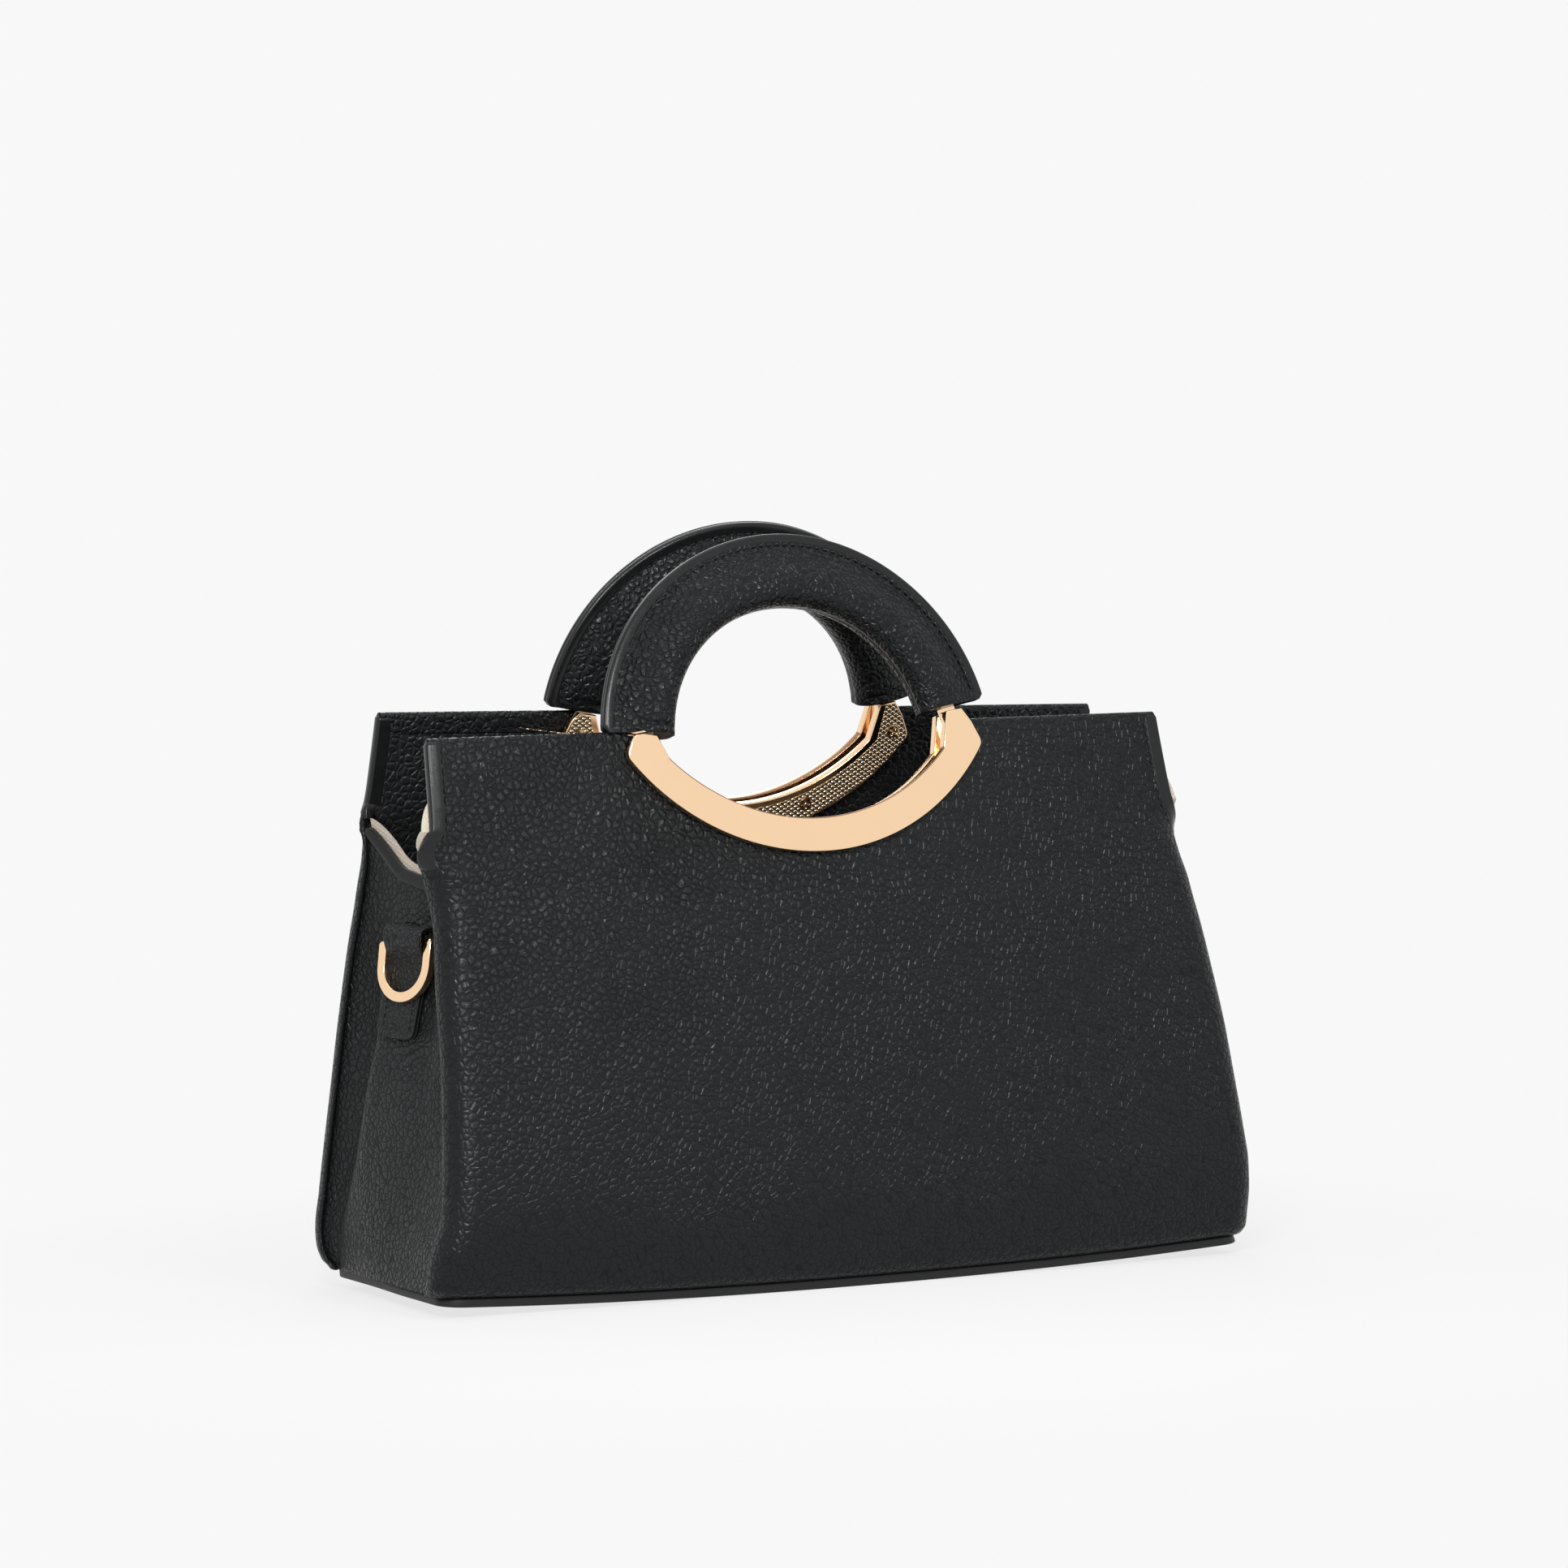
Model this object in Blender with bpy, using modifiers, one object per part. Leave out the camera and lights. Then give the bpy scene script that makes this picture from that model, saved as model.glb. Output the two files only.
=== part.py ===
"""A structured leather tote bag with two arched handles, each clamped between crescent plates.

Run with: blender --background --python part.py
Lengths are in metres, +Z is up and the front of the bag faces -Y.
"""
import math
from enum import IntEnum

import bmesh
import bpy
import numpy as np
from mathutils import Matrix

MM = 0.001

# Gaps and sheet thicknesses
GAP = 0.3 * MM
OVERRUN = 4 * MM
WELD = 0.003 * MM
LEATHER = 1.6 * MM
FACING = 1.4 * MM
LINING = 0.8 * MM
PACK = LEATHER + GAP + FACING

# Sole and base board
SOLE_END_INSET = 6.4 * MM
SOLE_DEPTH = 98 * MM
SOLE_THICK = 3 * MM
SOLE_CORNER = 8 * MM
SOLE_EDGE = 0.6 * MM
BOARD_THICK = 2 * MM
BOARD_END_INSET = 4.5 * MM
BOARD_SIDE_INSET = 1.5 * MM
BOARD_CORNER = 8 * MM
SEAT_Z = SOLE_THICK + GAP

# Front and back walls
PANEL_HEIGHT = 188 * MM
BACK_RISE = 3.5 * MM
TOP_LENGTH = 274 * MM
BODY_LENGTH = 312.8 * MM
BELLY_DEPTH = 57.5 * MM
WALL_BOW = 2.8 * MM
ROLL_STRIP = 16 * MM
ROLL_ANGLE = math.radians(100)
HINGE_INSET = 1.0 * MM
FACING_DROP = 50 * MM
FACING_EDGE = 0.8 * MM
FACING_ROLL_INSET = 14 * MM
FACING_SLACK = 1.0 * MM
LINING_START = 8 * MM
LINING_ROLL_SHARE = 0.5
FLAT_SHARE = 0.52

# Plane in which each handle and its plates are set
SET_HEIGHT = 180 * MM
SET_HALF = 27.8 * MM
SET_LEAN = math.radians(13)

# Crescent plates, measured in the set plane from the set line
PLATE_THICK = 3.4 * MM
INNER_PLATE_THICK = 3.6 * MM
PLATE_EDGE = 0.45 * MM
TIP_SPAN = 67 * MM
TIP_DROP = 1.5 * MM
TIP_ROUND = 3.5 * MM
PLATE_DROP = 36.6 * MM
OPENING_SPAN = 51.5 * MM
OPENING_END_DROP = 3 * MM
OPENING_DROP = 25 * MM
OPENING_TURN = 2 * MM
SHOULDER_RISE = 5.7 * MM
SHOULDER_SPAN = 63.8 * MM
SHOULDER_ROUND = 5 * MM
LEG_WIDTH = 6.2 * MM
NOTCH_MARGIN = 3 * MM

# Handles
HANDLE_RISE = 1.3 * MM
HANDLE_OUTER = 73 * MM
HANDLE_INNER = 47.5 * MM
HANDLE_END = math.radians(9)
CORE_RADIUS = 58.2 * MM
CORE_WIDTH = 5 * MM
PAD_HALF = 7.5 * MM
RIM_WIDTH = 4 * MM
RIM_HALF = 2.1 * MM
FIN_HALF = 1.1 * MM

# Screws between the plates
UPPER_SCREW_OUTSET = 2.3 * MM
LOWER_SCREW = (29 * MM, -25.4 * MM)
SCREW_HEAD_RADIUS = 2.4 * MM
SCREW_HEAD = 1.1 * MM
SCREW_SHANK_RADIUS = 1.1 * MM
SCREW_RECESS = 0.2 * MM
SCREW_BITE_SHARE = 0.62
SCREW_EDGE = 0.3 * MM
FOOT_MARGIN = 3.2 * MM
FOOT_DROP = 4.2 * MM
FOOT_ROUND = 2.2 * MM

# Folded end walls
MOUTH_FOLD = 7 * MM
WAIST_FOLD = 7.7 * MM
FOOT_FACET = 36 * MM
SEAM_LAP = 1.2 * MM
SEAM_ROOM = 0.75 * MM
FOLD_SLACK = 0.6 * MM
MOUTH_MIDDLE = 139 * MM
BINDING_HEIGHT = 4 * MM

# Ring tabs and rings
TAB_WIDTH = 17 * MM
TAB_YAW = math.radians(22)
STRAP = 1.3 * MM
TAB_DROP = 33 * MM
TAB_TAPER = 7 * MM
LOOP_SLACK = 3.7 * MM
RING_HEIGHT_ON_BAG = 117 * MM
FACET_MARGIN = 2.6 * MM
RING_WIDTH = 24.6 * MM
RING_DROP = 19.5 * MM
RING_BAR = 3 * MM
RING_EDGE = 0.5 * MM

# Levels of a wall from its bottom seam to its top edge, as shares of the sizes above:
# height, growth from top length to body length, growth from set plane to belly, bow, roll
LEVEL_SHARES = (
    (0.0, 0.86, 0.522, 0.15, 1.0),
    (0.002, 0.86, 0.641, 0.18, 1.0),
    (0.017, 0.95, 0.776, 0.18, 1.0),
    (0.047, 1.0, 0.896, 0.15, 1.0),
    (0.09, 0.959, 0.974, 0.15, 1.0),
    (0.145, 0.856, 0.995, 0.2, 1.0),
    (0.226, 0.773, 0.917, 0.32, 1.0),
    (0.318, 0.691, 0.776, 0.43, 1.0),
    (0.415, 0.603, 0.61, 0.57, 1.0),
    (0.502, 0.505, 0.464, 0.79, 1.0),
    (0.589, 0.407, 0.319, 0.93, 1.0),
    (0.675, 0.299, 0.163, 1.0, 1.0),
    (0.751, 0.258, 0.0, 0.79, 0.9),
    (0.794, 0.3, 0.0, 0.6, 0.5),
    (0.838, 0.093, 0.0, 0.46, 0.0),
    (0.913, 0.041, 0.0, 0.32, 0.0),
    (1.0, 0.0, 0.0, 0.21, 0.0),
)
FOLD_SHARES = (0.25, 0.25, 0.45, 0.57, 0.55, 0.5, 0.65, 0.83, 1.0)
COLUMN_SHARES = (0.0, FLAT_SHARE, 0.76, 1.0)
ROLL_SHARES = (0.25, 0.5, 0.75, 1.0)
# Bulge of a handle pad across one side: place from rim to rim, height above the rims
PAD_SHARES = ((0.0, 0.0), (0.12, 0.22), (0.27, 0.72), (0.5, 1.0), (0.68, 0.84), (0.84, 0.4), (1.0, 0.0))

SOLE_LENGTH = BODY_LENGTH - 2 * SOLE_END_INSET
UPPER_SCREW = (CORE_RADIUS + UPPER_SCREW_OUTSET, 0.0)
HINGE_HALF = SOLE_DEPTH / 2 - HINGE_INSET
HINGE_HEIGHT = SEAT_Z + LEATHER / 2
INNER_FACE = PACK / 2 + GAP + INNER_PLATE_THICK
OUTER_FACE = PACK / 2 + GAP + PLATE_THICK
BAR_HOLE = RING_BAR / math.sqrt(2) + GAP
LOOP_RADIUS = BAR_HOLE + STRAP

BLACK_LEATHER = ("black leather", (0.022, 0.024, 0.025), 0.5, 0.0)
PAINTED_EDGE = ("painted edge", (0.03, 0.031, 0.032), 0.35, 0.0)
SOLE_LEATHER = ("sole leather", (0.03, 0.03, 0.031), 0.6, 0.0)
CREAM_LINING = ("cream lining", (0.66, 0.6, 0.5), 0.85, 0.0)
BOARD = ("grey board", (0.3, 0.28, 0.25), 0.9, 0.0)
ROSE_GOLD = ("rose gold", (0.9, 0.68, 0.48), 0.15, 1.0)
SCREW_GOLD = ("screw gold", (0.62, 0.42, 0.26), 0.3, 1.0)

parts = None
cutters = None


class At(IntEnum):
    """Levels that other pieces start or end at, counted from the bottom seam."""

    WAIST = 8
    DIP = 11
    RIGID = 12
    GUSSET_TOP = 13
    WING = 15


def clear_scene():
    for obj in list(bpy.data.objects):
        bpy.data.objects.remove(obj, do_unlink=True)


def new_collection(name):
    collection = bpy.data.collections.new(name)
    bpy.context.scene.collection.children.link(collection)
    return collection


def add_material(obj, finish):
    """Give the object a Principled material of its own."""
    colour_name, colour, roughness, metallic = finish
    mat = bpy.data.materials.new(f"{obj.name} {colour_name}")
    mat.use_nodes = True
    shader = mat.node_tree.nodes["Principled BSDF"]
    shader.inputs["Base Color"].default_value = (*colour, 1.0)
    shader.inputs["Roughness"].default_value = roughness
    shader.inputs["Metallic"].default_value = metallic
    mat.diffuse_color = (*colour, 1.0)
    obj.data.materials.append(mat)


def add_object(name, mesh, finish, parent=None):
    """Put a mesh in the parts collection as a named sub-part."""
    obj = bpy.data.objects.new(name, mesh)
    parts.objects.link(obj)
    obj.parent = parent
    mesh.shade_smooth()
    mesh.set_sharp_from_angle(angle=math.radians(35))
    add_material(obj, finish)
    return obj


def add_cutter(name, mesh, parent):
    obj = bpy.data.objects.new(name, mesh)
    cutters.objects.link(obj)
    obj.parent = parent
    obj.hide_render = True
    obj.display_type = "WIRE"
    return obj


def add_empty(name, location, rotation=(0.0, 0.0, 0.0), parent=None):
    empty = bpy.data.objects.new(name, None)
    parts.objects.link(empty)
    empty.empty_display_size = SOLE_CORNER
    empty.parent = parent
    empty.location = location
    empty.rotation_euler = rotation
    return empty


def subtract(obj, cutter):
    cut = obj.modifiers.new(f"cut by {cutter.name}", "BOOLEAN")
    cut.operation = "DIFFERENCE"
    cut.object = cutter
    cut.solver = "EXACT"


def bevel(obj, width):
    edge = obj.modifiers.new("fine edge", "BEVEL")
    edge.width = width
    edge.segments = 1
    edge.limit_method = "ANGLE"
    edge.angle_limit = math.radians(50)


def finish_mesh(bm, name):
    bmesh.ops.recalc_face_normals(bm, faces=bm.faces)
    mesh = bpy.data.meshes.new(name)
    bm.to_mesh(mesh)
    bm.free()
    return mesh


# Outlines in a plane
def arc(centre, radius, start, end, steps):
    """Points of an arc about centre, both ends included, angles in radians."""
    angles = [start + (end - start) * i / steps for i in range(steps + 1)]
    return [(centre[0] + radius * math.cos(a), centre[1] + radius * math.sin(a)) for a in angles]


def rounded(corners, steps=4):
    """Outline through (x, y, radius) corners, each corner with a radius drawn as an arc."""
    outline = []
    count = len(corners)
    for i, (x, y, radius) in enumerate(corners):
        here = np.array((x, y))
        if radius == 0:
            outline.append((x, y))
            continue
        before = np.array(corners[i - 1][:2]) - here
        after = np.array(corners[(i + 1) % count][:2]) - here
        before = before / np.linalg.norm(before)
        after = after / np.linalg.norm(after)
        half = math.acos(float(np.clip(before @ after, -1, 1))) / 2
        bisector = (before + after) / np.linalg.norm(before + after)
        centre = here + bisector * radius / math.sin(half)
        first = here + before * radius / math.tan(half) - centre
        last = here + after * radius / math.tan(half) - centre
        start = math.atan2(first[1], first[0])
        sweep = math.atan2(last[1], last[0]) - start
        sweep = (sweep + math.pi) % (2 * math.pi) - math.pi
        outline += arc(centre, radius, start, start + sweep, steps)
    return outline


def slab(name, outlines, thickness):
    """Solid of a flat outline, with any further outlines as holes, centred on its own plane."""
    curve = bpy.data.curves.new(name, "CURVE")
    curve.dimensions = "2D"
    curve.fill_mode = "BOTH"
    curve.extrude = thickness / 2
    for outline in outlines:
        spline = curve.splines.new("POLY")
        spline.points.add(len(outline) - 1)
        for point, (x, y) in zip(spline.points, outline):
            point.co = (x, y, 0.0, 1.0)
        spline.use_cyclic_u = True
    guide = bpy.data.objects.new(name, curve)
    bpy.context.scene.collection.objects.link(guide)
    graph = bpy.context.evaluated_depsgraph_get()
    mesh = bpy.data.meshes.new_from_object(guide.evaluated_get(graph))
    bpy.data.objects.remove(guide, do_unlink=True)
    bpy.data.curves.remove(curve)
    bm = bmesh.new()
    bm.from_mesh(mesh)
    bpy.data.meshes.remove(mesh)
    bmesh.ops.remove_doubles(bm, verts=bm.verts, dist=WELD)
    bmesh.ops.dissolve_limit(bm, angle_limit=math.radians(0.5), verts=bm.verts, edges=bm.edges)
    return finish_mesh(bm, name)


def turned(name, profile, centres, steps=10):
    """Solids turned about upright axes through the centres, from a profile of (radius, height)."""
    bm = bmesh.new()
    for x, y in centres:
        verts = [bm.verts.new((x + radius, y, height)) for radius, height in profile]
        edges = [bm.edges.new(pair) for pair in zip(verts, verts[1:])]
        bmesh.ops.spin(bm, geom=verts + edges, cent=(x, y, 0.0), axis=(0, 0, 1),
                       angle=2 * math.pi, steps=steps, use_merge=True)
    bmesh.ops.remove_doubles(bm, verts=bm.verts, dist=WELD)
    return finish_mesh(bm, name)


def swept_arc(name, section, centre, start, end, steps):
    """Solid of a closed section of (radius, offset), swept about centre in the plane."""
    bm = bmesh.new()
    direction = (math.cos(start), math.sin(start))
    verts = [bm.verts.new((centre[0] + r * direction[0], centre[1] + r * direction[1], offset))
             for r, offset in section]
    edges = [bm.edges.new(pair) for pair in zip(verts, verts[1:] + verts[:1])]
    swept = bmesh.ops.spin(bm, geom=verts + edges, cent=(*centre, 0.0), axis=(0, 0, 1),
                           angle=end - start, steps=steps)
    last = [item for item in swept["geom_last"] if isinstance(item, bmesh.types.BMEdge)]
    bmesh.ops.contextual_create(bm, geom=edges)
    bmesh.ops.contextual_create(bm, geom=last)
    return finish_mesh(bm, name)


# Sheets
def outward_normals(points, outward):
    """Unit normals of a grid of points, turned to the side that outward shows."""
    down = np.gradient(points, axis=0)
    across = np.gradient(points, axis=1)
    normals = np.cross(across, down)
    normals = normals / np.linalg.norm(normals, axis=2, keepdims=True)
    if np.sum(normals * np.array(outward)) < 0:
        normals = -normals
    return normals


def sheet(name, points, thickness, outward, finish, parent=None, inset=0.0, slack=0.0):
    """Shell of one thickness whose outer side lies inset below a grid of points.

    Slack is how much further the two ends of each row stand off than its middle.
    """
    rows, columns = points.shape[:2]
    reach = np.abs(np.linspace(-1, 1, columns)) * 2 - 1
    depth = inset + slack * np.clip(reach, 0, 1)
    placed = points - outward_normals(points, outward) * depth[None, :, None]
    bm = bmesh.new()
    bmesh.ops.create_grid(bm, x_segments=columns - 1, y_segments=rows - 1, size=1.0)
    for vert in bm.verts:
        column = round((vert.co.x + 1) / 2 * (columns - 1))
        row = round((vert.co.y + 1) / 2 * (rows - 1))
        vert.co = placed[row, column]
    bm.normal_update()
    facing = sum(face.normal.dot(outward) * face.calc_area() for face in bm.faces)
    if facing < 0:
        bmesh.ops.reverse_faces(bm, faces=bm.faces)
    mesh = bpy.data.meshes.new(name)
    bm.to_mesh(mesh)
    bm.free()
    obj = add_object(name, mesh, finish, parent)
    if parent is not None:
        obj.location = [-value for value in parent.location]
    solid = obj.modifiers.new("thickness", "SOLIDIFY")
    solid.thickness = thickness
    solid.offset = -1.0
    solid.use_even_offset = True
    return obj


class Level:
    """One height of a wall: its half width, its depth at the middle and sides, and its roll."""

    def __init__(self, shares):
        height, width, belly, bow, self.roll = shares
        wall_height = PANEL_HEIGHT - SEAT_Z
        self.z = SEAT_Z + height * wall_height
        self.half = (TOP_LENGTH + (BODY_LENGTH - TOP_LENGTH) * width) / 2
        bend_z = SEAT_Z + LEVEL_SHARES[At.RIGID][0] * wall_height
        straight = set_plane_depth(max(self.z, bend_z)) + PACK / 2 / math.cos(SET_LEAN)
        self.depth = straight + (BELLY_DEPTH - straight) * belly
        self.bow = WALL_BOW * bow
        self.sweep = ROLL_ANGLE * self.roll
        if self.roll > 0:
            self.radius = ROLL_STRIP / self.sweep
            self.flat = self.half - self.radius * math.sin(min(self.sweep, math.pi / 2))
        else:
            self.radius = 0.0
            self.flat = self.half - ROLL_STRIP

    def side_depth(self):
        return self.depth - self.bow

    def wall_depth(self, x):
        """Depth of the outer surface at x, on the flat of the wall or on its roll."""
        if x <= self.flat:
            reach = max(0.0, x / self.flat - FLAT_SHARE) / (1 - FLAT_SHARE)
            return self.depth - self.bow * reach ** 2
        if self.roll == 0:
            return self.side_depth()
        run = min(x - self.flat, self.radius)
        return self.side_depth() - self.radius + math.sqrt(self.radius ** 2 - run ** 2)

    def roll_point(self, share):
        """Place (x, depth) at a share of the rolled strip."""
        if self.roll == 0:
            return self.flat + ROLL_STRIP * share, self.side_depth()
        angle = self.sweep * share
        x = self.flat + self.radius * math.sin(angle)
        return x, self.side_depth() - self.radius * (1 - math.cos(angle))

    def seam_point(self):
        """Place of the end wall's outer side, tucked just inside the end of the roll."""
        end = np.array(self.roll_point(ROLL_SHARES[-1]))
        along = end - np.array(self.roll_point(ROLL_SHARES[-2]))
        along = along / np.linalg.norm(along)
        outward = np.array((-along[1], along[0]))
        return end - along * SEAM_LAP - outward * (LEATHER + GAP + SEAM_ROOM)


def set_plane_depth(z):
    """Half depth of the plane in the middle of the leather and facing, at a height."""
    return SET_HALF + (SET_HEIGHT - z) * math.tan(SET_LEAN)


def level_at(z):
    """Level between two of the listed ones."""
    wall_height = PANEL_HEIGHT - SEAT_Z
    table = np.array(LEVEL_SHARES)
    share = (z - SEAT_Z) / wall_height
    return Level([float(np.interp(share, table[:, 0], table[:, i])) for i in range(table.shape[1])])


LEVELS = [Level(shares) for shares in LEVEL_SHARES]


class Side:
    """Front or back of the bag, with the hinge at its bottom seam and the seat of its handle."""

    def __init__(self, name, sign, rise):
        self.name = name
        self.sign = sign
        self.rise = rise
        self.hinge = add_empty(f"{name}_hinge", (0.0, sign * HINGE_HALF, HINGE_HEIGHT))
        turn = 0.0 if sign < 0 else math.pi
        seat = (0.0, sign * (SET_HALF - HINGE_HALF), SET_HEIGHT + rise - HINGE_HEIGHT)
        self.seat = add_empty(f"{name}_handle_seat", seat, (math.pi / 2 - SET_LEAN, 0.0, turn), self.hinge)
        self.outward = (0.0, sign, 0.0)

    def lift(self, z):
        """Height on this side of what lies at z on the front."""
        return z + self.rise * min(1.0, (z - SEAT_Z) / (LEVELS[At.RIGID].z - SEAT_Z))

    def row(self, level, half_row):
        """Full row of points from the right half of a row of (x, depth)."""
        full = [(-x, depth) for x, depth in reversed(half_row) if x > 0] + half_row
        return [(x, self.sign * depth, self.lift(level.z)) for x, depth in full]


# Base
def make_base():
    def plan(length, depth, corner):
        x, y = length / 2, depth / 2
        return rounded([(-x, -y, corner), (x, -y, corner), (x, y, corner), (-x, y, corner)], steps=5)

    sole = add_object("base_sole", slab("base_sole", [plan(SOLE_LENGTH, SOLE_DEPTH, SOLE_CORNER)],
                                        SOLE_THICK), SOLE_LEATHER)
    sole.location.z = SOLE_THICK / 2
    bevel(sole, SOLE_EDGE)
    length = SOLE_LENGTH - 2 * BOARD_END_INSET
    depth = SOLE_DEPTH - 2 * BOARD_SIDE_INSET
    outline = plan(length, depth, BOARD_CORNER)
    board = add_object("base_board", slab("base_board", [outline], BOARD_THICK), BOARD)
    board.location.z = SEAT_Z + BOARD_THICK / 2
    lining = add_object("base_lining", slab("base_lining", [outline], LINING), CREAM_LINING)
    lining.location.z = SEAT_Z + BOARD_THICK + GAP + LINING / 2


# Walls
def make_panel(side):
    rows = []
    for level in LEVELS:
        half_row = [(level.flat * share, level.wall_depth(level.flat * share)) for share in COLUMN_SHARES]
        half_row += [level.roll_point(share) for share in ROLL_SHARES]
        rows.append(side.row(level, half_row))
    return sheet(f"{side.name}_panel", np.array(rows), LEATHER, side.outward, BLACK_LEATHER, side.hinge)


def make_facing(side):
    heights = [PANEL_HEIGHT - FACING_DROP, LEVELS[At.RIGID].z]
    heights += [level.z for level in LEVELS[At.WING:]]
    rows = []
    for z in heights:
        level = level_at(z)
        reach = level.half - FACING_EDGE - FACING_ROLL_INSET * level.roll
        half_row = [(reach * share, level.wall_depth(reach * share)) for share in COLUMN_SHARES]
        rows.append(side.row(level, half_row))
    return sheet(f"{side.name}_facing", np.array(rows), FACING, side.outward, BLACK_LEATHER,
                 side.hinge, inset=LEATHER + GAP, slack=FACING_SLACK)


def make_lining(side):
    top = PANEL_HEIGHT - FACING_DROP - GAP
    heights = [LINING_START] + [level.z for level in LEVELS if LINING_START < level.z < top] + [top]
    rows = []
    for z in heights:
        level = level_at(z)
        half_row = [(level.flat * share, level.wall_depth(level.flat * share)) for share in COLUMN_SHARES]
        half_row += [level.roll_point(share) for share in ROLL_SHARES if share <= LINING_ROLL_SHARE]
        rows.append(side.row(level, half_row))
    return sheet(f"{side.name}_lining", np.array(rows), LINING, side.outward, CREAM_LINING,
                 side.hinge, inset=LEATHER + GAP)


# Plates, screws and handles, drawn in the set plane
def circle_through(half_span, end_height, low_height):
    """Centre height and radius of the circle through the ends of a sagging arc and its low point."""
    sag = end_height - low_height
    radius = (half_span ** 2 + sag ** 2) / (2 * sag)
    return low_height + radius, radius


def end_line_point(radius, back=0.0):
    """Point on the line where the sleeves end, moved back below it."""
    return (radius * math.cos(HANDLE_END) + back * math.sin(HANDLE_END),
            HANDLE_RISE + radius * math.sin(HANDLE_END) - back * math.cos(HANDLE_END))


def sagging_arc(half_span, end_height, low_height, steps):
    """Right half of a sagging arc, from its low point to its end."""
    centre, radius = circle_through(half_span, end_height, low_height)
    end = math.asin(half_span / radius)
    return arc((0.0, centre), radius, -math.pi / 2, -math.pi / 2 + end, steps)


def crescent_outline():
    outer = sagging_arc(TIP_SPAN, -TIP_DROP, -PLATE_DROP, 9)
    inner = sagging_arc(OPENING_SPAN, -OPENING_END_DROP, -OPENING_DROP, 8)
    leg_outer = end_line_point(CORE_RADIUS + LEG_WIDTH / 2, GAP)
    leg_inner = end_line_point(CORE_RADIUS - LEG_WIDTH / 2, GAP)
    corners = [(x, y, 0.0) for x, y in outer[:-1]]
    corners.append((TIP_SPAN, -TIP_DROP, TIP_ROUND))
    corners.append((SHOULDER_SPAN, SHOULDER_RISE, SHOULDER_ROUND))
    corners.append((*leg_outer, 0.0))
    corners.append((*leg_inner, 0.0))
    corners.append((*inner[-1], OPENING_TURN))
    corners += [(x, y, 0.0) for x, y in reversed(inner[:-1])]
    left = [(-x, y, r) for x, y, r in reversed(corners) if x > 0]
    return rounded(corners + left, steps=3)


def foot_corners(clearance):
    """Right foot of the handle's arch, from its outer top down and round to its inner bottom."""
    screw_x, screw_y = UPPER_SCREW
    outer = screw_x + FOOT_MARGIN + clearance
    low = screw_y - FOOT_DROP - clearance
    leg = CORE_RADIUS + CORE_WIDTH / 2 + clearance
    return outer, low, leg, screw_y + FOOT_MARGIN + clearance


def core_outline():
    outer_top = arc((0.0, HANDLE_RISE), CORE_RADIUS + CORE_WIDTH / 2, math.pi / 2, HANDLE_END, 12)
    inner_top = arc((0.0, HANDLE_RISE), CORE_RADIUS - CORE_WIDTH / 2, HANDLE_END, math.pi / 2, 12)
    outer, low, leg, shoulder = foot_corners(0.0)
    inner = inner_top[0][0]
    corners = [(*point, 0.0) for point in outer_top]
    corners.append((leg, shoulder + FOOT_ROUND, 0.0))
    corners.append((outer, shoulder, FOOT_ROUND / 2))
    corners.append((outer, low, FOOT_ROUND))
    corners.append((inner, low, FOOT_ROUND / 2))
    corners += [(*point, 0.0) for point in inner_top]
    right = corners[1:-1]
    left = [(-x, y, r) for x, y, r in reversed(right)]
    return rounded(corners[:1] + right + corners[-1:] + left, steps=3)


def notch_outline():
    """Cut in the leather and facing: the hand opening with a margin, and room for the feet."""
    outer, low, leg, shoulder = foot_corners(GAP)
    centre, radius = circle_through(OPENING_SPAN, -OPENING_END_DROP, -OPENING_DROP)
    radius += NOTCH_MARGIN
    meet = math.acos((centre - low) / radius)
    bottom = arc((0.0, centre), radius, -math.pi / 2, -math.pi / 2 + meet, 8)
    top = PANEL_HEIGHT - SET_HEIGHT + OVERRUN
    corners = [(x, y, 0.0) for x, y in bottom]
    corners.append((outer, low, FOOT_ROUND))
    corners.append((outer, shoulder, FOOT_ROUND / 2))
    corners.append((leg, shoulder + FOOT_ROUND, 0.0))
    corners.append((leg, top, 0.0))
    left = [(-x, y, r) for x, y, r in reversed(corners) if x > 0]
    return rounded(corners + left, steps=3)


def screw_places():
    return [(side * x, y) for x, y in (UPPER_SCREW, LOWER_SCREW) for side in (-1, 1)]


def screw_profile(clearance):
    """Turned profile of a screw, its head at the inner plate, heights from the middle of the pack."""
    top = SCREW_RECESS - INNER_FACE
    under_head = top + SCREW_HEAD + clearance
    tip = PACK / 2 + GAP + PLATE_THICK * SCREW_BITE_SHARE + clearance
    head = SCREW_HEAD_RADIUS + clearance
    shank = SCREW_SHANK_RADIUS + clearance
    if clearance > 0:
        top_points = [(0.0, -INNER_FACE - OVERRUN), (head, -INNER_FACE - OVERRUN)]
    else:
        top_points = [(0.0, top), (head - SCREW_EDGE, top), (head, top + SCREW_EDGE)]
    return top_points + [(head, under_head), (shank, under_head), (shank, tip), (0.0, tip)]


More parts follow.
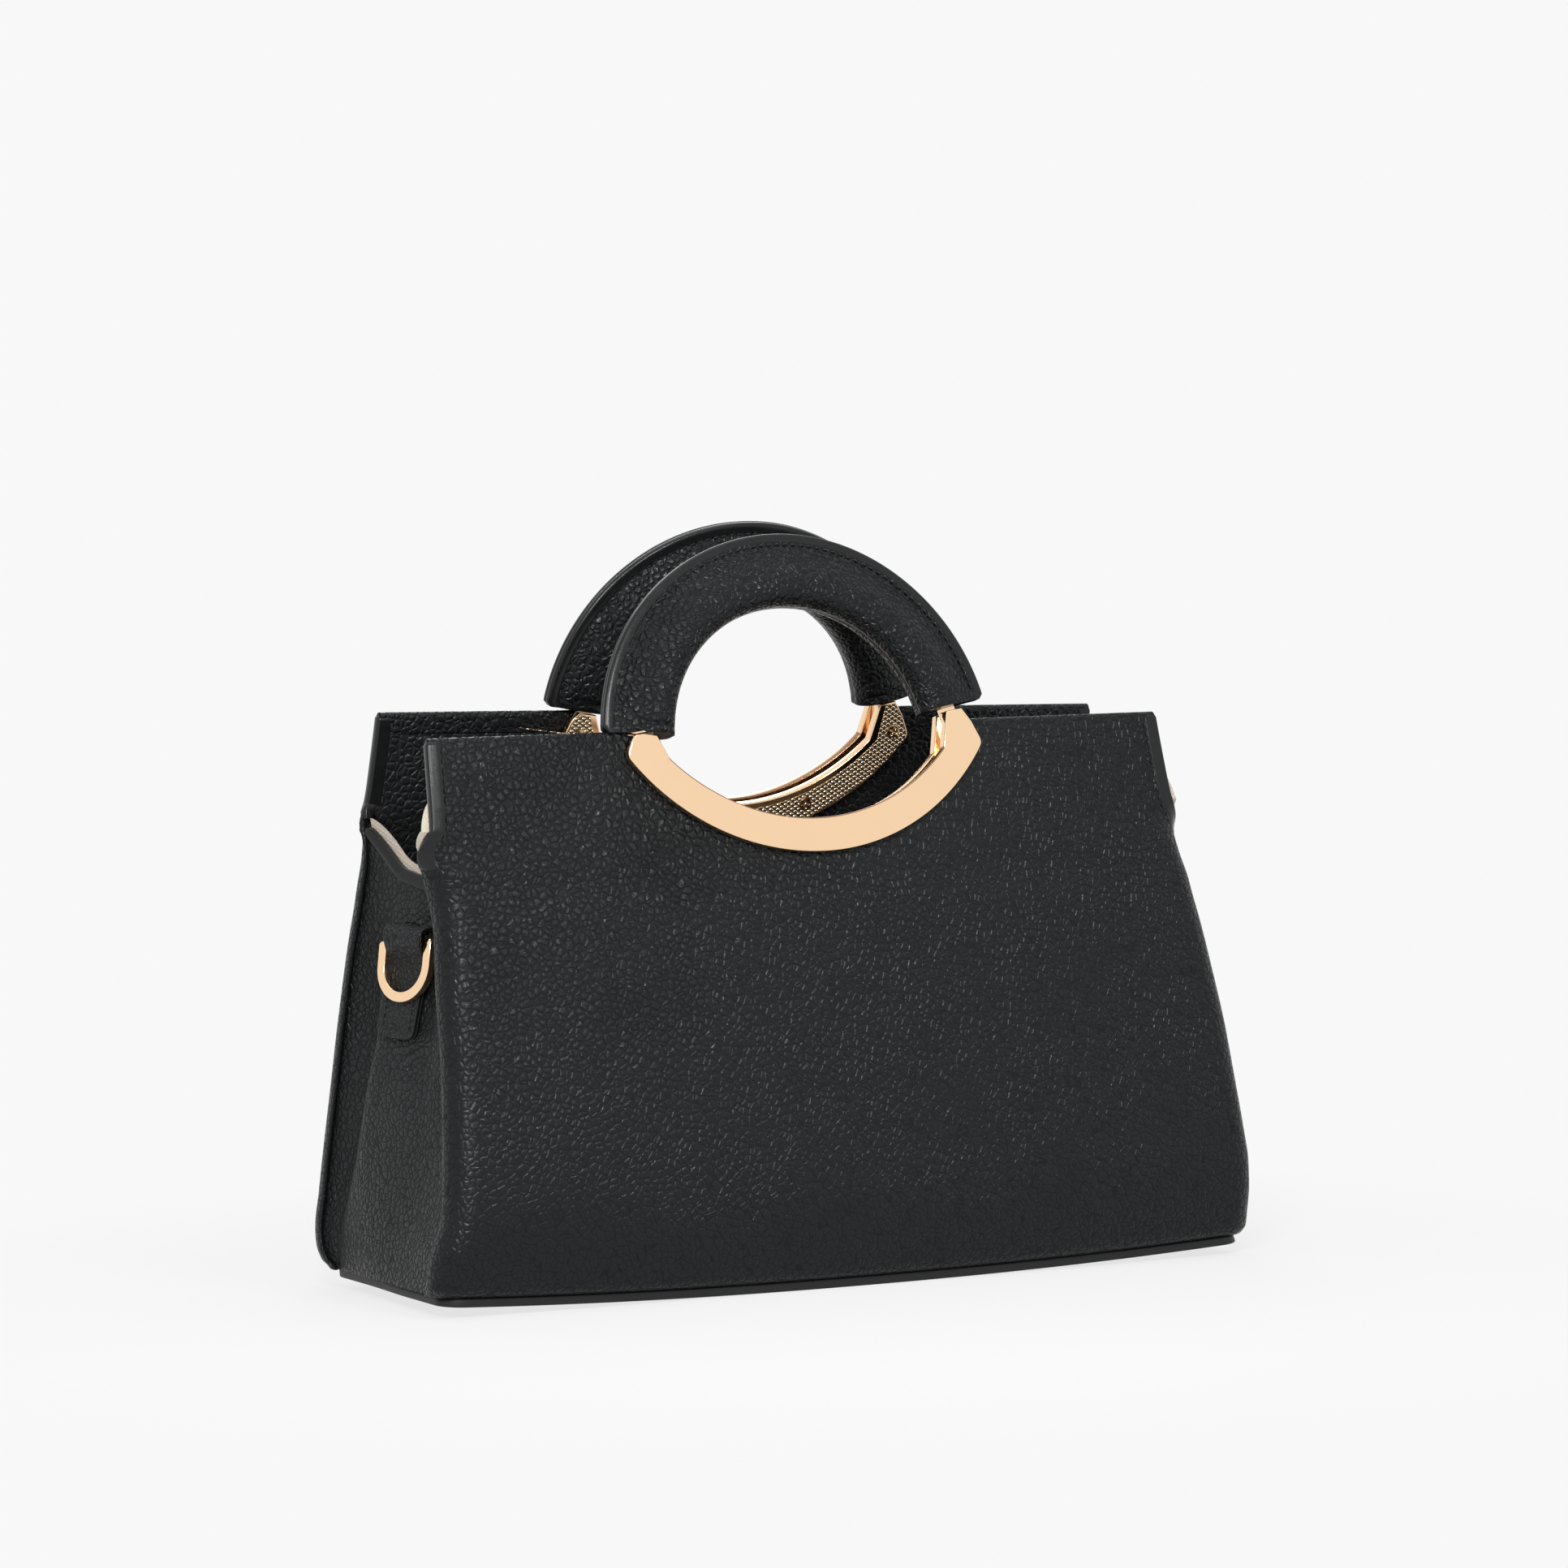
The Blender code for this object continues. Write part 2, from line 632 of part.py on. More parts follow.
def sleeve_section():
    """Half of a padded sleeve in section, as (radius, offset), with the channel for the arch."""
    joint = GAP / 2
    channel = PACK / 2 + GAP
    inner_channel = CORE_RADIUS - CORE_WIDTH / 2 - GAP
    outer_channel = CORE_RADIUS + CORE_WIDTH / 2 + GAP
    pad_start = HANDLE_INNER + RIM_WIDTH
    pad_end = HANDLE_OUTER - RIM_WIDTH
    section = [(HANDLE_INNER, joint), (inner_channel, joint), (inner_channel, channel),
               (outer_channel, channel), (outer_channel, joint), (HANDLE_OUTER, joint)]
    section.append((HANDLE_OUTER, RIM_HALF))
    for place, height in reversed(PAD_SHARES):
        rim = FIN_HALF + (RIM_HALF - FIN_HALF) * place
        section.append((pad_start + (pad_end - pad_start) * place, rim + (PAD_HALF - rim) * height))
    section.append((HANDLE_INNER, FIN_HALF))
    return section


def make_handle_set(side):
    """Plates, screws, arch and sleeves of one side, all seated in its set plane."""
    name, seat = side.name, side.seat
    screw_cutter = add_cutter(f"{name}_screw_holes", turned(f"{name}_screw_holes", screw_profile(GAP),
                                                            screw_places()), seat)
    notch = add_cutter(f"{name}_notch", slab(f"{name}_notch", [notch_outline()], PACK + 2 * OVERRUN), seat)
    plate = add_object(f"{name}_plate", slab(f"{name}_plate", [crescent_outline()], PLATE_THICK),
                       ROSE_GOLD, seat)
    plate.location.z = OUTER_FACE - PLATE_THICK / 2
    inner_plate = add_object(f"{name}_inner_plate",
                             slab(f"{name}_inner_plate", [crescent_outline()], INNER_PLATE_THICK),
                             ROSE_GOLD, seat)
    inner_plate.location.z = INNER_PLATE_THICK / 2 - INNER_FACE
    for item in (plate, inner_plate):
        bevel(item, PLATE_EDGE)
        subtract(item, screw_cutter)
    core = add_object(f"{name}_handle_core", slab(f"{name}_handle_core", [core_outline()], PACK),
                      ROSE_GOLD, seat)
    subtract(core, screw_cutter)
    for item in (make_panel(side), make_facing(side)):
        subtract(item, notch)
        subtract(item, screw_cutter)
    make_lining(side)
    for index, place in enumerate(screw_places(), start=1):
        screw = add_object(f"{name}_screw_{index}",
                           turned(f"{name}_screw_{index}", screw_profile(0.0), [(0.0, 0.0)]),
                           SCREW_GOLD, seat)
        screw.location = (*place, 0.0)
    for label, flip in (("outer", 1), ("inner", -1)):
        section = [(radius, flip * offset) for radius, offset in sleeve_section()]
        sleeve = swept_arc(f"{name}_sleeve_{label}", section, (0.0, HANDLE_RISE), HANDLE_END,
                           math.pi - HANDLE_END, 20)
        add_object(f"{name}_sleeve_{label}", sleeve, BLACK_LEATHER, seat)


# Folded end walls, ring tabs and rings
def fold_half(z):
    """Half distance between the folds of the two end walls, at a height."""
    waist = LEVELS[At.WAIST]
    if z >= waist.z:
        top = TOP_LENGTH / 2 - MOUTH_FOLD
        share = (z - waist.z) / (MOUTH_MIDDLE - waist.z)
        return waist.half - WAIST_FOLD + (top - waist.half + WAIST_FOLD) * share
    level = level_at(z)
    heights = [item.z for item in LEVELS[:At.WAIST + 1]]
    return level.half - WAIST_FOLD * float(np.interp(z, heights, FOLD_SHARES))


def facet_half(z):
    """Half width of the flat facet in the middle of an end wall."""
    waist = LEVELS[At.WAIST].z
    narrow = TAB_WIDTH / 2 + FACET_MARGIN
    share = min(1.0, (z - SEAT_Z) / (waist - SEAT_Z))
    return FOOT_FACET + (narrow - FOOT_FACET) * share


def facet_turn(z):
    """Slope across the facet, which turns toward the front as it narrows."""
    share = min(1.0, z / LEVELS[At.WAIST].z)
    return math.tan(TAB_YAW) * share ** 2


def gusset_row(sign, seam_z, fold_z, front, back):
    """Row of points across an end wall, from the front seam by the fold to the back seam."""
    level = level_at(seam_z)
    seam_x, seam_depth = level.seam_point()
    half = facet_half(fold_z)
    row = []
    for side in (front, back):
        z = (fold_z + side.lift(fold_z)) / 2
        y = side.sign * half
        seam = np.array((seam_x, side.sign * seam_depth, side.lift(seam_z)))
        fold = np.array((fold_half(z) + facet_turn(z) * y, y, z))
        row.append([seam, (seam + fold) / 2, fold])
    middle = np.array((fold_half(fold_z), 0.0, fold_z))
    points = row[0] + [middle] + row[1][::-1]
    return [(sign * x, y, z) for x, y, z in points]


def gusset_rows(sign, front, back, bottom, drop):
    """Rows of an end wall from the height bottom up to its mouth less drop."""
    dip = LEVELS[At.DIP].z
    seam_top = LEVELS[At.GUSSET_TOP].z - drop
    fold_top = MOUTH_MIDDLE - drop
    heights = [(z, z) for z in [bottom] + [level.z for level in LEVELS[:At.DIP + 1] if level.z > bottom]]
    heights += [(dip + (seam_top - dip) * share, dip + (fold_top - dip) * share) for share in (0.5, 1.0)]
    return [gusset_row(sign, seam_z, fold_z, front, back) for seam_z, fold_z in heights]


def trimmed(row, trim):
    """Row whose two ends are drawn in by trim."""
    row = [np.array(point) for point in row]
    for end, inner in ((0, 1), (-1, -2)):
        step = row[inner] - row[end]
        row[end] = row[end] + step * trim / np.linalg.norm(step)
    return row


def make_gusset(label, sign, front, back):
    outward = (sign, 0.0, 0.0)
    under_binding = BINDING_HEIGHT + GAP
    leather_rows = gusset_rows(sign, front, back, SEAT_Z, under_binding)
    sheet(f"gusset_{label}", np.array(leather_rows), LEATHER, outward, BLACK_LEATHER)
    seam_top = LEVELS[At.GUSSET_TOP].z
    binding_rows = [gusset_row(sign, seam_top - drop, MOUTH_MIDDLE - drop, front, back)
                    for drop in (BINDING_HEIGHT, 0.0)]
    sheet(f"gusset_binding_{label}", np.array(binding_rows), LEATHER + GAP + LINING, outward, PAINTED_EDGE)
    lining_rows = [trimmed(row, SEAM_LAP + LEATHER)
                   for row in gusset_rows(sign, front, back, LINING_START, under_binding + LINING)]
    sheet(f"gusset_lining_{label}", np.array(lining_rows), LINING, outward, CREAM_LINING,
          inset=LEATHER + GAP + FOLD_SLACK)


def tab_frame(label, sign):
    """Empty on the ring's bar axis: X across the strap, Y up it, Z out of it."""
    height = RING_HEIGHT_ON_BAG
    slope = (fold_half(height - TAB_DROP) - fold_half(height)) / TAB_DROP
    outward = np.array((sign, -math.tan(TAB_YAW), slope))
    outward = outward / np.linalg.norm(outward)
    across = np.array((math.tan(TAB_YAW), sign, 0.0))
    across = across / np.linalg.norm(across)
    up = np.cross(outward, across)
    place = np.array((sign * fold_half(height), 0.0, height)) + outward * (LOOP_RADIUS + GAP)
    frame = add_empty(f"{label}_frame", place)
    turn = Matrix((across, up, outward)).transposed()
    frame.rotation_euler = turn.to_euler()
    return frame


def tab_outlines():
    """Side view of the strap, folded round the bar: (out, up) from the bar's axis."""
    back = -LOOP_RADIUS
    front = back + 2 * STRAP
    outline = [(back, -TAB_DROP), (front, -TAB_DROP), (front, -TAB_TAPER)]
    outline += arc((0.0, 0.0), LOOP_RADIUS, -math.pi / 5, 0.0, 3)
    outline += arc((0.0, LOOP_SLACK), LOOP_RADIUS, 0.0, math.pi, 10)
    hole = arc((0.0, LOOP_SLACK), BAR_HOLE, 0.0, math.pi, 8)
    hole += arc((0.0, 0.0), BAR_HOLE, math.pi, 2 * math.pi, 8)
    return [outline, hole]


def ring_outline(inset):
    """D-shaped outline of the ring about its bar axis, drawn in by inset."""
    half = RING_WIDTH / 2 - inset
    top = RING_BAR / 2 - inset
    straight = RING_WIDTH / 2 - RING_DROP
    corner = max(RING_BAR / 2 - inset, GAP)
    top_corners = rounded([(half, top, corner), (-half, top, corner), (-half, straight, 0.0),
                           (half, straight, 0.0)], steps=3)
    bow = arc((0.0, straight), half, math.pi, 2 * math.pi, 14)
    return top_corners[:-2] + bow


def ring_tilt():
    """Angle at which the hanging bow rests on the strap."""
    stand_off = 2 * STRAP + GAP - LOOP_RADIUS + RING_BAR / 2
    return math.asin(max(0.0, stand_off / (RING_DROP - RING_BAR)))


def make_ring_set(label, sign):
    frame = tab_frame(f"ring_tab_{label}", sign)
    tab = add_object(f"ring_tab_{label}", slab(f"ring_tab_{label}", tab_outlines(), TAB_WIDTH),
                     BLACK_LEATHER, frame)
    tab.rotation_euler.y = -math.pi / 2
    ring = add_object(f"ring_{label}", slab(f"ring_{label}", [ring_outline(0.0), ring_outline(RING_BAR)],
                                            RING_BAR), ROSE_GOLD, frame)
    ring.rotation_euler.x = -ring_tilt()
    bevel(ring, RING_EDGE)


def main():
    global parts, cutters
    clear_scene()
    parts = new_collection("tote_bag")
    cutters = new_collection("cutters")
    make_base()
    front = Side("front", -1, 0.0)
    back = Side("back", 1, BACK_RISE)
    for side in (front, back):
        make_handle_set(side)
    for label, sign in (("left", -1), ("right", 1)):
        make_gusset(label, sign, front, back)
        make_ring_set(label, sign)
    bpy.context.view_layer.update()


main()
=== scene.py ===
import math

import bmesh
import bpy
import numpy as np
from mathutils import Matrix, Vector


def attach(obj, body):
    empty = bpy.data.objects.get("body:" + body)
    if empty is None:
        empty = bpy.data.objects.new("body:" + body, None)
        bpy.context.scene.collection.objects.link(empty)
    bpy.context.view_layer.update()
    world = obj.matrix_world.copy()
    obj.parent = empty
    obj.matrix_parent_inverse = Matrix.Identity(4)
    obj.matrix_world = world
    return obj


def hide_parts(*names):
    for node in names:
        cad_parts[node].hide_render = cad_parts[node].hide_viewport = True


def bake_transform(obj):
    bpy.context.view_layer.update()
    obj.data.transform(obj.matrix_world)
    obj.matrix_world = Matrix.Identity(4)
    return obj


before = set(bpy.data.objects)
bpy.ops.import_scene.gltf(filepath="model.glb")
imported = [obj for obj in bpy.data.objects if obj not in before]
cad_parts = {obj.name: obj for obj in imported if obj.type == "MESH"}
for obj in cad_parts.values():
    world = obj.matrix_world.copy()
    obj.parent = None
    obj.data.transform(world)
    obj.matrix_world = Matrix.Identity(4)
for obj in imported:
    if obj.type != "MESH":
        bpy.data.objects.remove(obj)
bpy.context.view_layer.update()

# Lengths are in millimetres up to the point where a mesh is made
MM = 0.001
GAP = 0.3
LEATHER = 1.6
WALL_SHEET = 1.55
FACING = 1.4
CLOTH = 0.8
PACK = LEATHER + GAP + FACING
SEAT_Z = 3.3
SIDES = (("left", -1), ("right", 1))

# Walls: sizes that the levels below share out
WALL_TOP = 188.0
EDGE_TURN = (PACK + 0.2) / 2
HEM_DROP = 5.2
BACK_RISE = 3.5
TOP_LENGTH = 274.0
BODY_LENGTH = 312.8
BELLY = 57.5
WALL_BOW = 2.8
ROLL_STRIP = 16.0
ROLL_ANGLE = math.radians(100)
FLAT_SHARE = 0.52
BEND_Z = 142.0
FACING_DROP = 50.0
# height share, width growth, belly growth, bow, roll
LEVELS = np.array((
    (0.0, 0.86, 0.66, 0.15, 1.0),
    (0.002, 0.86, 0.72, 0.18, 1.0),
    (0.017, 0.95, 0.82, 0.18, 1.0),
    (0.047, 1.0, 0.896, 0.15, 1.0),
    (0.09, 0.959, 0.974, 0.15, 1.0),
    (0.145, 0.856, 0.995, 0.2, 1.0),
    (0.226, 0.773, 0.917, 0.32, 1.0),
    (0.318, 0.691, 0.776, 0.43, 1.0),
    (0.415, 0.603, 0.61, 0.57, 1.0),
    (0.502, 0.505, 0.464, 0.79, 1.0),
    (0.589, 0.407, 0.319, 0.93, 1.0),
    (0.675, 0.299, 0.163, 1.0, 1.0),
    (0.751, 0.258, 0.0, 0.79, 0.9),
    (0.794, 0.3, 0.0, 0.6, 0.5),
    (0.838, 0.093, 0.0, 0.46, 0.0),
    (0.913, 0.041, 0.0, 0.32, 0.0),
    (1.0, 0.0, 0.0, 0.21, 0.0),
))
LEVEL_HEIGHTS = SEAT_Z + LEVELS[:, 0] * (WALL_TOP - SEAT_Z)
WAIST_Z = LEVEL_HEIGHTS[8]
DIP_Z = LEVEL_HEIGHTS[11]
SEAM_TOP_Z = LEVEL_HEIGHTS[13]
# smooth band round the side edges of the walls, and the slips of lining below it
BAND = 4.2
WING_LOW = {"front": 143.0, "back": 152.0}
SLIP_LOW, SLIP_HIGH, SLIP_DEEP = 150.5, 167.0, 9.5

# Plane of each handle and its plates
SET_HEIGHT = 180.0
SET_HALF = 27.8
SET_LEAN = math.radians(13)

# Plates, in that plane: half span, height of the ends and lowest height of each arc
OUTER_ARC = (67.0, -1.5, -36.6)
INNER_ARC = (51.5, -3.0, -25.0)
SHOULDER = (63.8, 5.7)
PLATE_THICK = 3.4
INNER_PLATE_THICK = 3.6
PLATE_BEVEL = 0.5
PLATE_SEAT = PACK / 2 + GAP
MESH_INSET = 0.8
MESH_RIM = 2.2
NOTCH_MARGIN = 3.0
NOTCH_DEPTH = PACK + 8
SCREWS = ((-60.5, 0.0), (60.5, 0.0), (-29.0, -25.4), (29.0, -25.4))

# Handles, in that plane: angles of the sleeves' ends in degrees, right end first
HANDLE_RISE = 1.3
HANDLE_END = math.radians(9)
HANDLE_ENDS = {"front": (10.5, 175.2), "back": (6.6, 171.0)}
LEG_DROPS = {"front": (4.6, 0.0), "back": (0.0, 2.7)}
LEG_RADIUS = 58.2
LEG_WIDTH = 6.2
# radius and height of the padded half's section, from the hand opening to its outer edge
PAD = np.array((
    (47.6, 0.15), (47.5, 1.2), (47.7, 2.8), (48.5, 4.9), (50.2, 6.7), (52.4, 7.5), (55.0, 7.6),
    (58.0, 7.1), (61.0, 6.1), (63.8, 4.8), (66.2, 3.5), (67.8, 2.7), (68.9, 2.2), (69.5, 2.3),
    (71.0, 2.35), (72.3, 2.25), (72.85, 1.8), (73.0, 1.2), (73.0, 0.35), (72.75, 0.15),
))
SEWN_RADIUS = 69.1

# End walls
MOUTH_FOLD = 7.0
WAIST_FOLD = 7.7
FOOT_FACET = 36.0
FOLD_CLEARANCE = {"front": 5.2, "back": 2.6}
FOLD_SHARES = np.array((0.25, 0.25, 0.45, 0.57, 0.55, 0.5, 0.65, 0.83, 1.0))
SEAM_LAP = 2.4
SEAM_ROOM = 0.05
MOUTH_MIDDLE = 139.0
MOUTH_LAP = {"front": np.array((1.2, 0.0, 0.0)), "back": np.array((2.5, 0.5, 4.0))}
HOLLOW_HEIGHTS = (0.0, 14.0, 40.0, 75.0, 105.0, 125.0, 150.0)
HOLLOWS = {"front": (0.3, 1.2, 2.8, 3.0, 1.5, 0.5, 0.0),
           "back": (0.3, 2.0, 5.5, 7.5, 4.5, 1.2, 0.0)}
BINDING = 4.2
END_DOME = 0.02

# Ring tabs and rings
TAB_WIDTH = 17.0
TAB_YAW = math.radians(22)
TAB_DROP = 33.0
TAB_LEAN = math.radians(6)
TAB_PROUD = 0.3
STRAP = 1.3
STRAP_DROP = 29.5
RING_Z = 117.0
RING_WIDTH = 24.6
RING_DROP = 19.5
RING_BAR = 3.0
RING_LEAN = math.radians(4)
RING_LIFT = 1.6
LOOP_RADIUS = RING_BAR / math.sqrt(2) + GAP + STRAP
LOOP_SLACK = 4.6

# Base: half lengths and half widths of the sole and of the lining
SOLE_HALF = (150.0, 50.6)
SOLE_THICK = 3.25
BASE_LINING_HALF = (145.3, 50.6)
BASE_LINING_Z = 6.4

# How the bag has settled: shifts of the front and back walls at heights
SAG_HEIGHTS = (0.0, 12.0, 35.0, 75.0, 105.0, 130.0, 150.0, 188.0, 260.0)
FRONT_DRIFT = (3.8, 3.7, 6.0, 6.1, 4.8, 3.3, -0.3, -1.5, -2.1)
BACK_DRIFT = (3.4, 2.8, 2.0, 1.2, 0.2, 0.0, 0.6, 1.7, 2.6)
FRONT_TRIM = (-1.5, 2.0, 1.3, 0.9, 0.0, -0.2, -0.6, -0.5, 0.0)
FRONT_STRETCH = 1.65
BACK_STRETCH = 3.5
FRONT_TURN = 0.008
BACK_TURN = -0.013
FRONT_SET_SHIFT = -1.7
BACK_SET_SHIFT = -3.8
END_CURL = 4.0

# Patterns and colours
KNURL_PITCH = 1.7
WEAVE_PITCH = 1.3
GOLD = (0.985, 0.7, 0.445)
INK = (0.0088, 0.0093, 0.0102)
PALE = (0.939, 0.939, 0.939, 1.0)

# The photograph's camera: place in metres, angles in degrees, focal length in its pixels
CAMERA_PLACE = (-0.7775, -1.5838, 0.2238)
CAMERA_ANGLES = (26.262, 1.797, -1.092)
FOCAL_PIXELS, PHOTO_PIXELS, SENSOR = 6310.1, 1932, 36


def ramp(x, start, end):
    """0 up to a start and 1 from an end on, straight between; the start may be the higher."""
    return np.clip((x - start) / (end - start), 0, 1)


def through(x, xs, ys):
    """Smooth curve through the points of a table, with no overshoot."""
    x, xs, ys = np.asarray(x, float), np.asarray(xs, float), np.asarray(ys, float)
    step = np.diff(xs)
    slope = np.diff(ys) / step
    tangent = np.concatenate([[slope[0]], np.zeros(len(xs) - 2), [slope[-1]]])
    same = slope[:-1] * slope[1:] > 0
    near, far = 2 * step[1:] + step[:-1], step[1:] + 2 * step[:-1]
    with np.errstate(divide="ignore", invalid="ignore"):
        mean = (near + far) / (near / slope[:-1] + far / slope[1:])
    tangent[1:-1] = np.where(same, mean, 0.0)
    i = np.clip(np.searchsorted(xs, x, side="right") - 1, 0, len(xs) - 2)
    t = np.clip((x - xs[i]) / step[i], 0, 1)
    a = (1 + 2 * t) * (1 - t) ** 2 * ys[i] + t * (1 - t) ** 2 * step[i] * tangent[i]
    b = t * t * (3 - 2 * t) * ys[i + 1] + t * t * (t - 1) * step[i] * tangent[i + 1]
    return a + b


def settled(points):
    """Points of the evenly built bag moved to where the real one has settled.

    The middles of the end walls hold still behind the ring tabs, whose rings swing about
    fixed bars.
    """
    points = np.array(points, float)
    x, y, z = points[..., 0], points[..., 1], points[..., 2]
    to_back = ramp(y, -18, 18)
    to_back = to_back * to_back * (3 - 2 * to_back)
    drift = (through(z, SAG_HEIGHTS, FRONT_DRIFT) * (1 - to_back)
             + through(z, SAG_HEIGHTS, BACK_DRIFT) * to_back)
    at_tab = (through(np.abs(x), (0, 105, 130, 200), (0, 0, 1, 1))
              * through(np.abs(y), (0, 16, 30, 80), (1, 1, 0, 0))
              * through(z, (-10, 30, 84, 126, 150, 300), (0, 0, 1, 1, 0, 0)))
    stretch = FRONT_STRETCH + (BACK_STRETCH - FRONT_STRETCH) * to_back
    turn = FRONT_TURN + (BACK_TURN - FRONT_TURN) * to_back
    rise = (stretch + turn * x) * ramp(z, 0, WALL_TOP)
    curl = END_CURL * np.clip(np.abs(x) / 150, 0, 1.05) ** 2.2 * ramp(z, 62, 0) ** 1.5
    narrow = through(z, SAG_HEIGHTS, FRONT_TRIM) * (1 - to_back) / 150
    moved = points.copy()
    moved[..., 0] = x * (1 - narrow) + drift * (1 - at_tab)
    moved[..., 2] = z + rise + curl
    return moved


# Finishes
class Value:
    """Shader socket whose arithmetic adds Math nodes."""

    def __init__(self, nodes, socket):
        self.nodes = nodes
        self.socket = socket

    def other(self, output):
        """Another output of the same node."""
        return Value(self.nodes, self.socket.node.outputs[output])

    def maths(self, operation, first, second=0.0):
        return self.nodes.add("ShaderNodeMath", {"operation": operation}, {0: first, 1: second})

    def __add__(self, other):
        return self.maths("ADD", self, other)

    __radd__ = __add__

    def __sub__(self, other):
        return self.maths("SUBTRACT", self, other)

    def __rsub__(self, other):
        return self.maths("SUBTRACT", other, self)

    def __mul__(self, other):
        return self.maths("MULTIPLY", self, other)

    __rmul__ = __mul__

    def __pow__(self, power):
        return self.maths("POWER", self, power)

    def sine(self):
        return self.maths("SINE", self)

    def size(self):
        return self.maths("ABSOLUTE", self)

    def at_least(self, floor):
        return self.maths("MAXIMUM", self, floor)

    def between(self, low, high, start=0.0, end=1.0):
        """Smooth step of the value from low to high, given out from start to end."""
        settings = {"interpolation_type": "SMOOTHSTEP", "clamp": True}
        sockets = {0: self, 1: low, 2: high, 3: start, 4: end}
        return self.nodes.add("ShaderNodeMapRange", settings, sockets)


class Nodes:
    """Nodes of a material or of the world."""

    def __init__(self, tree):
        self.tree = tree

    def add(self, kind, settings=None, sockets=None, output=0):
        node = self.tree.nodes.new(kind)
        for name, value in (settings or {}).items():
            setattr(node, name, value)
        for name, value in (sockets or {}).items():
            self.put(value, node.inputs[name])
        return Value(self, node.outputs[output])

    def put(self, value, socket):
        if isinstance(value, Value):
            self.tree.links.new(value.socket, socket)
        else:
            socket.default_value = value


class Paint(Nodes):
    """Procedural finish built round one Principled shader."""

    def __init__(self, name, slot, **constants):
        self.material = bpy.data.materials.new(name)
        self.material.use_nodes = True
        self.slot = slot
        super().__init__(self.material.node_tree)
        self.shader = self.tree.nodes["Principled BSDF"]
        self.feed(**constants)

    def feed(self, **values):
        for name, value in values.items():
            self.put(value, self.shader.inputs[name.replace("_", " ")])

    def vectors(self, operation, sockets, output=0):
        return self.add("ShaderNodeVectorMath", {"operation": operation}, sockets, output)

    def place(self, stretch=(1.0, 1.0, 1.0)):
        """Place on the piece in millimetres, stretched along each axis."""
        coords = self.add("ShaderNodeTexCoord", output="Object")
        return self.vectors("MULTIPLY", {0: coords, 1: tuple(1 / MM * s for s in stretch)})

    def kept(self, name, output="Fac"):
        """Value kept on the points of the mesh."""
        return self.add("ShaderNodeAttribute", {"attribute_name": name}, None, output)

    def noise(self, place, pitch, detail=2.0, roughness=0.5, output="Fac"):
        sockets = {"Vector": place, "Scale": 1 / pitch, "Detail": detail, "Roughness": roughness}
        return self.add("ShaderNodeTexNoise", None, sockets, output)

    def cells(self, place, pitch, feature):
        sockets = {"Vector": place, "Scale": 1 / pitch}
        return self.add("ShaderNodeTexVoronoi", {"feature": feature}, sockets, "Distance")

    def shifted(self, place, pitch, amount):
        """Place pushed about by noise, so that a pattern wanders."""
        push = self.noise(place, pitch, 1.0, 0.5, "Color")
        centred = self.vectors("SUBTRACT", {0: push, 1: (0.5, 0.5, 0.5)})
        scaled = self.vectors("SCALE", {0: centred, "Scale": 2 * amount})
        return self.vectors("ADD", {0: place, 1: scaled})

    def colour(self, factor, tone, shade, roughness):
        """Colour from a shade of the tone up to the tone itself, and roughness."""
        sockets = {0: factor, 6: (*(shade * c for c in tone), 1.0), 7: (*tone, 1.0)}
        mixed = self.add("ShaderNodeMix", {"data_type": "RGBA"}, sockets, 2)
        self.feed(Base_Color=mixed, Roughness=roughness)

    def bump(self, height, depth):
        """Relief of a height from 0 to 1, depth in millimetres."""
        sockets = {"Height": height, "Distance": depth * MM, "Strength": 1.0}
        self.feed(Normal=self.add("ShaderNodeBump", None, sockets))


def pebbled_leather(name, pitch, depth, tone, shine=0.25):
    """Tumbled grain: domed pebbles between creases, flatter where the leather is stretched.

    Depth is the height of a pebble in millimetres.
    """
    paint = Paint(name, "black_leather", Specular_IOR_Level=0.2,
                  Specular_Tint=(0.94, 0.985, 1.0, 1.0))
    place = paint.place()
    wander = paint.shifted(place, 3.5 * pitch, 0.45 * pitch)
    edge = paint.cells(wander, pitch, "DISTANCE_TO_EDGE")
    reach = paint.cells(wander, pitch, "F1")
    dome = (1 - reach * reach * 2.0).at_least(0.0)
    shoulder = edge.between(0.0, 0.28)
    crease = edge.between(0.0, 0.11)
    fine = paint.shifted(place, 1.5 * pitch, 0.4 * pitch)
    wrinkle = paint.cells(fine, 0.45 * pitch, "DISTANCE_TO_EDGE").between(0.0, 0.22)
    pores = paint.noise(place, 0.22 * pitch, 3.0, 0.6)
    patch = paint.noise(place, 38.0, 2.0, 0.5).between(0.3, 0.7, 0.55, 1.0)
    firm = (1 - 0.65 * paint.kept("stretched")) * patch
    lean = paint.noise(wander, 1.7 * pitch, 1.0, 0.5)
    pebbles = dome * 0.2 + shoulder * 0.55 + crease * 0.08 + lean * 0.5
    paint.bump((pebbles + wrinkle * 0.07 + pores * 0.05) * firm, depth)
    # colour darkens to a fifth of the tone down in the creases and wrinkles: painted shade
    paint.colour(crease * 0.65 + wrinkle * 0.2 + pores * 0.15, tone, 0.2,
                 shine + 0.34 * (1 - crease) + 0.1 * (1 - wrinkle) + 0.1 * (pores - 0.5))
    return paint


def smooth_leather(name, tone, roughness, slot="painted_edge", relief=0.03):
    paint = Paint(name, slot, Specular_IOR_Level=0.3)
    place = paint.place()
    cloud = paint.noise(place, 6.0, 4.0, 0.6)
    grit = paint.noise(place, 0.35, 3.0, 0.6)
    paint.bump(cloud * 0.5 + grit * 0.5, relief)
    paint.colour(cloud, tone, 0.6, roughness + 0.2 * (cloud - 0.5))
    return paint


